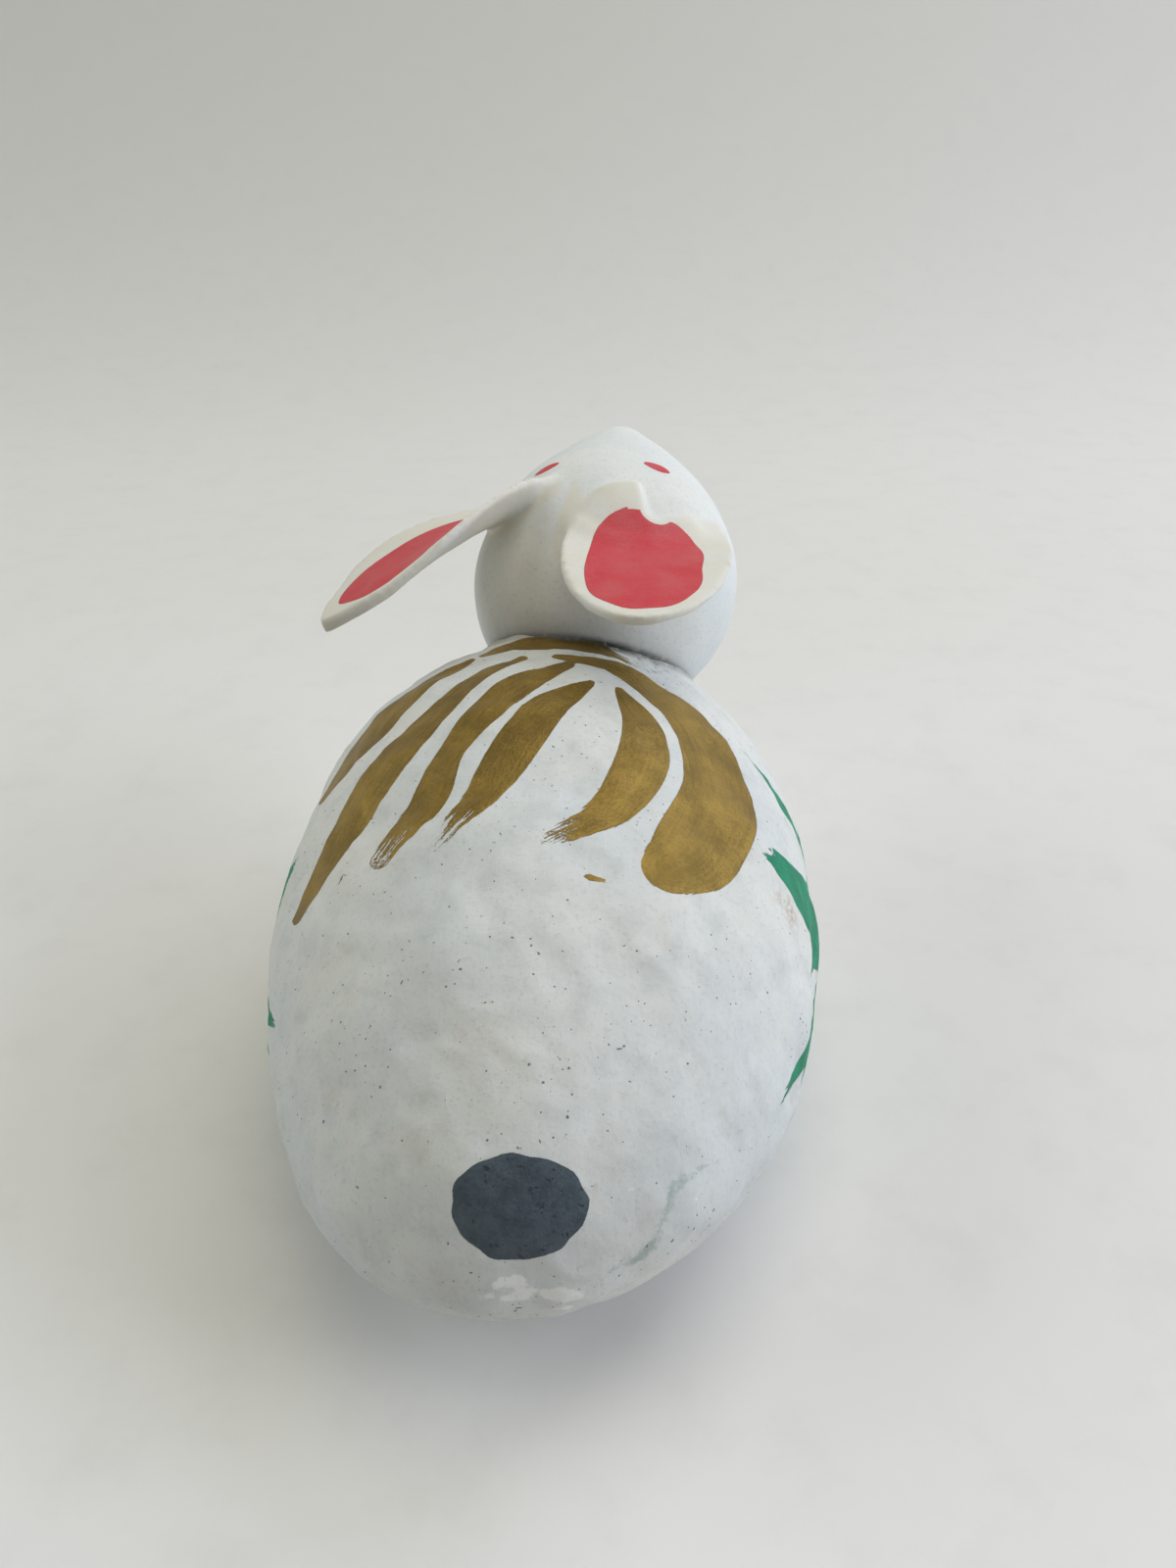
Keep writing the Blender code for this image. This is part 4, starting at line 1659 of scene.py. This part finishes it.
    def paint(self, piece: bpy.types.Object) -> None:
        """Store all paint and wear, and the painted shade at the neck and lip, on the body's vertices.

        Args:
            piece: The body.
        """
        places, normals = vertex_arrays(piece.data)
        gold = PaintCoat(Paint.GOLD, len(places))
        GOLD_BLADES.paint(gold, places, normals)
        gold.store(piece.data)
        green = PaintCoat(Paint.GREEN, len(places))
        RIGHT_LEAVES.paint(green, places, normals)
        LEFT_LEAVES.paint(green, places, normals)
        green.store(piece.data)
        TailSpot().paint(places, normals).store(piece.data)
        for wear_and_shade in WEAR_AND_SHADE:
            wear_and_shade.store(piece, places)
        for mark in RUBBED_MARKS:
            mark.store(piece, places, normals)
        store_value(piece.data, "neck", self.neck_line(places))

    def neck_line(self, places: np.ndarray) -> np.ndarray:
        """Give the painted shade of the neck's gap, by how near each vertex is to the mouth of the neck
        opening.

        Args:
            places: Places of the body's vertices.

        Returns:
            Darkness of the painted shade, 0 to 1.
        """
        gap = (np.linalg.norm(self.socket_direction(places), axis=1) - 1.0) * self.head.height / 2.0 / MM
        near = (places - self.socket_centre) @ self.axis > -self.shade_depth
        # Painted shade: the lip's crest darkens near the head, and the opening's wall darkens wholly behind
        # the head and less in front.
        crest = np.where(near, self.shade.line(gap), 0.0)
        wall = np.where(near & (gap < self.wall_depth), self.shade.behind(places), 0.0)
        return np.maximum(crest * self.shade.depth(places), wall)

    def finish(self, groups: dict[str, bpy.types.NodeTree]) -> bpy.types.Material:
        """Build the body's finish, with its stains, wear and painted shade in their places.

        Args:
            groups: The shared node groups, by name.

        Returns:
            The material.
        """
        paper = PaintedPaper("painted_body", BODY_GROUND, groups)
        for coat in (GREEN_PAINT, GOLD_PAINT, SLATE_PAINT):
            paper.cover(coat)
        sketch = paper.sketch
        torn = sketch.noise(paper.place, 900.0, 4.0, 0.65)
        patchy = sketch.noise(paper.place, 420.0, 4.0, 0.7)
        uneven = sketch.times(sketch.minus(sketch.plus(patchy, torn), 1.0), 1.3)
        paper.rub(CHIPS, uneven)
        paper.rub(SMEAR, uneven)
        paper.soak(SMUDGE, torn)
        # Dark speckles on the lip: dark residue, with painted shade where the lip turns from the light.
        paper.soak(LIP_SPECKS_AND_SHADE, torn)
        # Painted shade: a dark line in the gap round the neck and on the opening's wall.
        paper.soak(BODY_NECK_PAINTED_SHADE, patchy)
        pitted = sketch.times(sketch.remap(torn, 0.60, 0.68), paper.masks[Paint.SLATE])
        paper.tint(sketch.times(pitted, 0.7), SPOT_PIT)
        paper.height = sketch.minus(paper.height, sketch.times(pitted, 0.5))
        return paper.finish()


@dataclass(frozen=True)
class Eye:
    """One almond eye, in millimetres in the head's own frame: its two corners are for the right side."""

    side: float
    inner: Triple = (8.2, 13.9, 18.0)
    outer: Triple = (12.8, 11.7, 14.4)
    half_length: float = 4.2
    half_width: float = 1.45
    power: float = 1.8

    def inside(self, local: np.ndarray) -> np.ndarray:
        """Fill the eye.

        Args:
            local: Points in the head's own frame, in millimetres.

        Returns:
            Distance inside the eye's edge in millimetres.
        """
        mirror = np.array([self.side, 1.0, 1.0])
        inner, outer = np.array(self.inner) * mirror, np.array(self.outer) * mirror
        run = unit((outer - inner)[None])[0]
        offset = local - (inner + outer) / 2.0
        along = offset @ run
        aside = np.linalg.norm(offset - np.outer(along, run), axis=1)
        reach = np.clip(1.0 - np.abs(along / self.half_length) ** self.power, 0.0, 1.0)
        return np.where(np.abs(along) < self.half_length, self.half_width * reach - aside, FAR_OUTSIDE)


@dataclass
class RabbitHead:
    """The head with both ears, grown together in one skin.

    The seat is the round patch on which the right ear is pasted: its middle, radius and slope are in
    millimetres on the chart of the top, its other sizes in metres. The ivory tone starts along each ear
    over the shares of ivory_root, and ends over the distances of ivory_end from its skin.
    """

    egg: HeadEgg
    body: BodyEgg
    polar_rings: int = 90
    turns: int = 128
    voxel: float = 0.00052
    fillet_reach: float = 0.0045
    fillet_rounds: int = 60
    fillet_gain: float = 1.6
    seat_middle: tuple[float, float] = (15.3, 18.0)
    seat_radius: float = 14.3
    seat_slope: float = 1.5
    seat_rise: float = 0.0012
    seat_floor: float = 0.0795
    seat_end: tuple[float, float] = (0.0006, 0.0026)
    seat_reach: float = 0.0035
    seat_paint_edge: tuple[float, float] = (-0.2, 0.7)
    ivory_root: tuple[float, float] = (-0.02, 0.06)
    ivory_end: tuple[float, float] = (0.0012, 0.0024)
    ivory_least_half_width: float = 0.003
    white_softness: float = 0.8
    white_run: Stroke = Stroke(((22.0, 44.0, 24.0), (20.5, 36.0, 15.0), (18.6, 30.0, 8.0), (17.2, 26.5, 4.0)))
    eyes: tuple[Eye, ...] = (Eye(-1.0), Eye(1.0))
    shade: NeckShade = NeckShade(0.4, 1.7, reach=9.0, plain=0.45, front_loss=0.8)

    def __post_init__(self) -> None:
        """Set both ears on the head."""
        self.right = EarBlade.right_of(self.egg)
        self.left = EarBlade.left_of(self.egg)

    def egg_mesh(self) -> bmesh.types.BMesh:
        """Skin the egg.

        Returns:
            The head without its ears.
        """
        polar = np.pi * np.arange(1, self.polar_rings) / self.polar_rings
        turn = 2.0 * np.pi * np.arange(self.turns) / self.turns
        made = bmesh.new()
        loops = []
        for angle in polar:
            forward = np.full(self.turns, np.cos(angle))
            s = np.stack([np.sin(angle) * np.cos(turn), forward, np.sin(angle) * np.sin(turn)], axis=1)
            loops.append([made.verts.new(point) for point in self.egg.skin(s)])
        nose = made.verts.new(self.egg.skin(np.array([[0.0, 1.0, 0.0]]))[0])
        nape = made.verts.new(self.egg.skin(np.array([[0.0, -1.0, 0.0]]))[0])
        for step in range(self.turns):
            following = (step + 1) % self.turns
            made.faces.new((nose, loops[0][step], loops[0][following]))
            for near, far in zip(loops, loops[1:]):
                made.faces.new((near[step], far[step], far[following], near[following]))
            made.faces.new((loops[-1][following], loops[-1][step], nape))
        bmesh.ops.recalc_face_normals(made, faces=made.faces[:])
        return made

    def build(self) -> bpy.types.Object:
        """Build the head, grow the ears into it and soften where they meet.

        Returns:
            The head, unpainted.
        """
        made = self.egg_mesh()
        for blade in (self.right, self.left):
            part = blade.mesh()
            carrier = bpy.data.meshes.new("ear")
            part.to_mesh(carrier)
            part.free()
            made.from_mesh(carrier)
            bpy.data.meshes.remove(carrier)
        piece = mesh_object("paper_head", made)
        remesh = piece.modifiers.new("one_skin", "REMESH")
        remesh.mode = "VOXEL"
        remesh.voxel_size = self.voxel
        bake_modifiers(piece)
        self.raise_seat(piece)
        self.soften(piece)
        return piece

    def seat(self, places: np.ndarray, normals: np.ndarray) -> tuple[np.ndarray, np.ndarray]:
        """Find the round patch of the head on which the right ear is pasted.

        Args:
            places: World points in metres, one per row.
            normals: Outward normals of those points.

        Returns:
            Distance inside the patch in millimetres, and how fully white paint runs over it, 0 to 1.
        """
        flat, facing = TOP_CHART.flatten(places, normals)
        inside = self.seat_radius - np.linalg.norm(flat - np.array(self.seat_middle), axis=1)
        run = self.white_run.measure(flat)["inside"]
        white = smooth_step(-self.white_softness, self.white_softness, run)
        return np.where(facing & (places[:, 2] > self.seat_floor), inside, FAR_OUTSIDE), white

    def raise_seat(self, piece: bpy.types.Object) -> None:
        """Thicken the paper where the right ear is pasted on the head.

        Args:
            piece: The head.
        """
        places, normals = vertex_arrays(piece.data)
        inside, white = self.seat(places, normals)
        lift = self.seat_rise * smooth_step(0.0, self.seat_slope, inside) * (1.0 - white)
        lift *= 1.0 - smooth_step(*self.seat_end, self.egg.distance(places))
        piece.data.vertices.foreach_set("co", (places + normals * lift[:, None]).ravel())
        piece.data.update()

    def near_ears(self, places: np.ndarray) -> np.ndarray:
        """Measure how near world points are to the ears.

        Args:
            places: World points, one per row.

        Returns:
            Rough distances in metres, at most 1.
        """
        nearest = np.full(len(places), 1.0)
        for blade in (self.right, self.left):
            share, across, above = blade.measure(places)
            outside = np.maximum(np.abs(across) - blade.width / 2.0, 0.0)
            depth = np.maximum(np.maximum(above, -above - blade.middle), 0.0)
            nearest = np.minimum(nearest, np.where(share > -0.05, np.hypot(outside, depth), 1.0))
        return nearest

    def soften(self, piece: bpy.types.Object) -> None:
        """Round the corner where each ear grows out of the head.

        Args:
            piece: The head.
        """
        places, _ = vertex_arrays(piece.data)
        weight = np.clip(1.0 - self.egg.distance(places) / self.fillet_reach, 0.0, 1.0)
        weight *= np.clip(1.0 - self.near_ears(places) / self.fillet_reach, 0.0, 1.0)
        group = piece.vertex_groups.new(name="fillet")
        for index in np.where(weight > 0.02)[0]:
            group.add([int(index)], float(min(weight[index] * self.fillet_gain, 1.0)), "REPLACE")
        for name, rounds, held in (("fillet", self.fillet_rounds, "fillet"), ("even", 2, "")):
            smooth = piece.modifiers.new(name, "SMOOTH")
            smooth.factor = 0.5
            smooth.iterations = rounds
            smooth.vertex_group = held
        bake_modifiers(piece)
        piece.vertex_groups.clear()

    def red_face(self, blade: EarBlade, places: np.ndarray, normals: np.ndarray) -> np.ndarray:
        """Fill the painted face of one ear.

        Args:
            blade: The ear.
            places: Places of the head's vertices.
            normals: Their normals.

        Returns:
            Distance inside the red's edge in millimetres.
        """
        share, across, above = blade.measure(places)
        y = (share - blade.red_centre) / blade.red_half_length
        x = (across / (blade.width / 2.0) - blade.red_aside) / blade.red_half_width
        x = x / (1.0 + blade.red_root_swell * np.clip(-y, 0.0, 1.0))
        radius = (np.abs(x) ** blade.red_power + np.abs(y) ** blade.red_power) ** (1.0 / blade.red_power)
        waves = (blade.red_broad_wave + (blade.swing,), blade.red_fine_wave)
        wobble = uneven_edge(np.arctan2(y, x), waves)
        inside = (1.0 + wobble - radius) * blade.width / 2.0 * blade.red_half_width / MM
        if blade.notch is not None:
            aside, place, reach = blade.notch
            beside = (across / MM - aside) * blade.notch_squeeze
            gap = np.hypot(beside, (share - place) * blade.length / MM) - reach
            inside = np.minimum(inside, gap)
        _, up = blade.axes(np.ones(1))
        lowest, highest = blade.red_heights
        lit = (normals @ up[0] > blade.red_facing) & (above > lowest) & (above < highest)
        return np.where(lit, inside, FAR_OUTSIDE)

    def ivory(self, places: np.ndarray, normals: np.ndarray) -> np.ndarray:
        """Find where the ears' ivory tone shows.

        Args:
            places: Places of the head's vertices.
            normals: Their normals.

        Returns:
            Strength of the tone, 0 to 1.
        """
        tone = np.zeros(len(places))
        for blade in (self.right, self.left):
            share, across, above = blade.measure(places)
            half = np.maximum(blade.half_width(np.clip(share, 0.0, 1.0)), self.ivory_least_half_width)
            off = np.maximum(np.maximum(above, -above - blade.middle), np.abs(across) - half)
            grown = smooth_step(*self.ivory_root, share) * (1.0 - smooth_step(*self.ivory_end, off))
            tone = np.maximum(tone, grown)
        inside, white = self.seat(places, normals)
        seated = smooth_step(*self.seat_paint_edge, inside) * (self.egg.distance(places) < self.seat_reach)
        return np.maximum(tone, seated) * (1.0 - white)

    def paint(self, piece: bpy.types.Object) -> None:
        """Store the red paint, the ears' ivory tone and the painted shade of the neck's gap on the head's
        vertices.

        Args:
            piece: The head.
        """
        places, normals = vertex_arrays(piece.data)
        red = PaintCoat(Paint.RED, len(places))
        for blade in (self.right, self.left):
            red.merge(self.red_face(blade, places, normals))
        for eye in self.eyes:
            red.merge(eye.inside(self.egg.to_local(places) / MM))
        red.leave_no_streaks()
        red.store(piece.data)
        store_value(piece.data, "ivory", self.ivory(places, normals))
        # Painted shade: the head darkens just above the body's lip, in the gap between them.
        line = self.shade.line(self.body.height_above(places) / MM)
        store_value(piece.data, "neck", line * self.shade.depth(places) * self.shade.behind(places))

    def finish(self, groups: dict[str, bpy.types.NodeTree]) -> bpy.types.Material:
        """Build the head's finish, warmer on the ears, with painted shade at the neck.

        Args:
            groups: The shared node groups, by name.

        Returns:
            The material.
        """
        paper = PaintedPaper("painted_head", HEAD_GROUND, groups)
        paper.soak(EAR_IVORY, paper.sketch.noise(paper.place, 120.0, 3.0, 0.6))
        paper.cover(RED_PAINT)
        # Painted shade: a dark line on the head in the gap round the neck.
        paper.soak(HEAD_NECK_PAINTED_SHADE, paper.sketch.noise(paper.place, 420.0))
        return paper.finish()


@dataclass(frozen=True)
class Lamp:
    """A broad soft light that faces the rabbit."""

    name: str
    place: Triple
    size: float
    power: float
    colour: Triple
    aim: Triple = (0.0, 0.0, 0.04)

    def hang(self) -> None:
        """Put the lamp in the scene."""
        data = bpy.data.lights.new(self.name, "AREA")
        data.size, data.energy, data.color = self.size, self.power, self.colour
        item = bpy.data.objects.new(self.name, data)
        item.location = self.place
        item.rotation_euler = (Vector(self.aim) - Vector(self.place)).to_track_quat("-Z", "Y").to_euler()
        bpy.context.collection.objects.link(item)


LAMPS = (
    Lamp("window_behind", (0.66, 0.70, 1.05), 0.9, 7.6, (0.77, 0.83, 1.0)),
    Lamp("window_right", (1.2, -0.15, 0.6), 0.8, 11.1, (0.81, 0.875, 1.0)),
    Lamp("ceiling", (0.15, -0.05, 1.4), 1.0, 6.2, (1.0, 0.95, 0.76)),
    Lamp("wall_left", (-1.1, 0.0, 0.8), 0.9, 6.5, (0.88, 0.97, 1.0)),
    Lamp("room", (-0.6, -0.9, 0.9), 1.0, 0.8, (1.0, 0.75, 0.6)),
)


@dataclass(frozen=True)
class Studio:
    """Floor, backdrop, soft light and the camera where the photograph was taken."""

    eye: Triple = (0.0138, -0.1768, 0.1492)
    azimuth: float = math.radians(2.53)
    pitch: float = math.radians(30.5)
    roll: float = math.radians(-0.61)
    lens: float = 27.05
    sensor: float = 36.0
    nearest: float = 0.005
    floor_half_width: float = 2.5
    floor_start: float = -1.6
    bend_at: float = 0.42
    bend_radius: float = 0.45
    bend_steps: int = 24
    backdrop_top: float = 2.4
    surround: float = 0.02

    def camera(self) -> None:
        """Set the camera."""
        back = Vector((math.sin(self.azimuth) * math.cos(self.pitch),
                       -math.cos(self.azimuth) * math.cos(self.pitch), math.sin(self.pitch)))
        right = Vector((math.cos(self.azimuth), math.sin(self.azimuth), 0.0))
        up = back.cross(right)
        tilt = Matrix.Rotation(self.roll, 3, back)
        right, up = tilt @ right, tilt @ up
        data = bpy.data.cameras.new("camera")
        data.lens = self.lens
        data.sensor_width = self.sensor
        data.clip_start = self.nearest
        item = bpy.data.objects.new("camera", data)
        item.matrix_world = Matrix.Translation(self.eye) @ Matrix((right, up, back)).transposed().to_4x4()
        bpy.context.collection.objects.link(item)
        bpy.context.scene.camera = item

    def floor(self) -> None:
        """Make the pale floor, which sweeps up into a backdrop."""
        profile = [(self.floor_start, 0.0), (0.0, 0.0), (self.bend_at, 0.0)]
        for step in range(1, self.bend_steps + 1):
            angle = math.pi / 2.0 * step / self.bend_steps
            profile.append((self.bend_at + self.bend_radius * math.sin(angle),
                            self.bend_radius * (1.0 - math.cos(angle))))
        profile.append((self.bend_at + self.bend_radius, self.backdrop_top))
        made = bmesh.new()
        edges = (-self.floor_half_width, self.floor_half_width)
        sides = [[made.verts.new((x, y, z)) for y, z in profile] for x in edges]
        for step in range(len(profile) - 1):
            made.faces.new((sides[0][step], sides[1][step], sides[1][step + 1], sides[0][step + 1]))
        sheet = mesh_object("studio_floor", made)
        sheet.data.shade_smooth()
        sheet.data.materials.append(self.paper())

    def paper(self) -> bpy.types.Material:
        """Make the floor's finish, faintly mottled, with painted light and shade: lighter in front, a little
        darker towards the backdrop.

        Returns:
            The material.
        """
        material = bpy.data.materials.new("studio_paper")
        material.use_nodes = True
        sketch = NodeSketch(material.node_tree)
        place = sketch.add("ShaderNodeTexCoord").outputs["Object"]
        forward = sketch.add("ShaderNodeSeparateXYZ", {0: place}).outputs[1]
        # Painted light and shade: lighter near the camera, darker towards and up the backdrop.
        colour = sketch.mix(sketch.remap(forward, -0.15, 0.25), rgba(231, 229, 226), rgba(222, 219, 213))
        colour = sketch.mix(sketch.remap(forward, 0.35, 0.85), colour, rgba(205, 202, 195))
        mottle = sketch.remap(sketch.noise(place, 60.0, 5.0, 0.65), 0.45, 0.75, 0.0, 0.16)
        colour = sketch.mix(mottle, colour, rgba(198, 196, 190))
        shader = material.node_tree.nodes["Principled BSDF"]
        sketch.feed(shader.inputs["Base Color"], colour)
        shader.inputs["Roughness"].default_value = 0.9
        return material

    def light(self) -> None:
        """Hang the lamps in a nearly dark surround."""
        for lamp in LAMPS:
            lamp.hang()
        world = bpy.data.worlds.new("surround")
        world.use_nodes = True
        world.node_tree.nodes["Background"].inputs[1].default_value = self.surround
        bpy.context.scene.world = world
        bpy.context.scene.view_settings.view_transform = "Standard"


def main() -> None:
    """Build and dress the rabbit."""
    logging.basicConfig(level=logging.INFO, format="%(name)s: %(message)s")
    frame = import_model()
    low, high = (Vector(corner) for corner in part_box("body"))
    body_egg = BodyEgg.from_frame(low, high)
    head_egg = HeadEgg.on_body(body_egg)
    groups = {"brush": BrushEdge().build(), "chalk": ChalkGround().build()}
    relief = PastedPaper.tree()

    body = RabbitBody(body_egg, head_egg)
    body_piece = body.build()
    body.paint(body_piece)
    BODY_RELIEF.apply(body_piece, relief, body.finish(groups))
    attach(body_piece, "root")
    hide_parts("body")
    LOG.info("body: %d faces", len(body_piece.data.polygons))

    head = RabbitHead(head_egg, body_egg)
    head_piece = head.build()
    head.paint(head_piece)
    HEAD_RELIEF.apply(head_piece, relief, head.finish(groups))
    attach(head_piece, "root")
    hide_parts("head")
    LOG.info("head: %d faces", len(head_piece.data.polygons))

    studio = Studio()
    studio.floor()
    studio.light()
    studio.camera()
    LOG.info("%d solids replaced", len(frame["nodes"]))


if __name__ == "__main__":
    main()
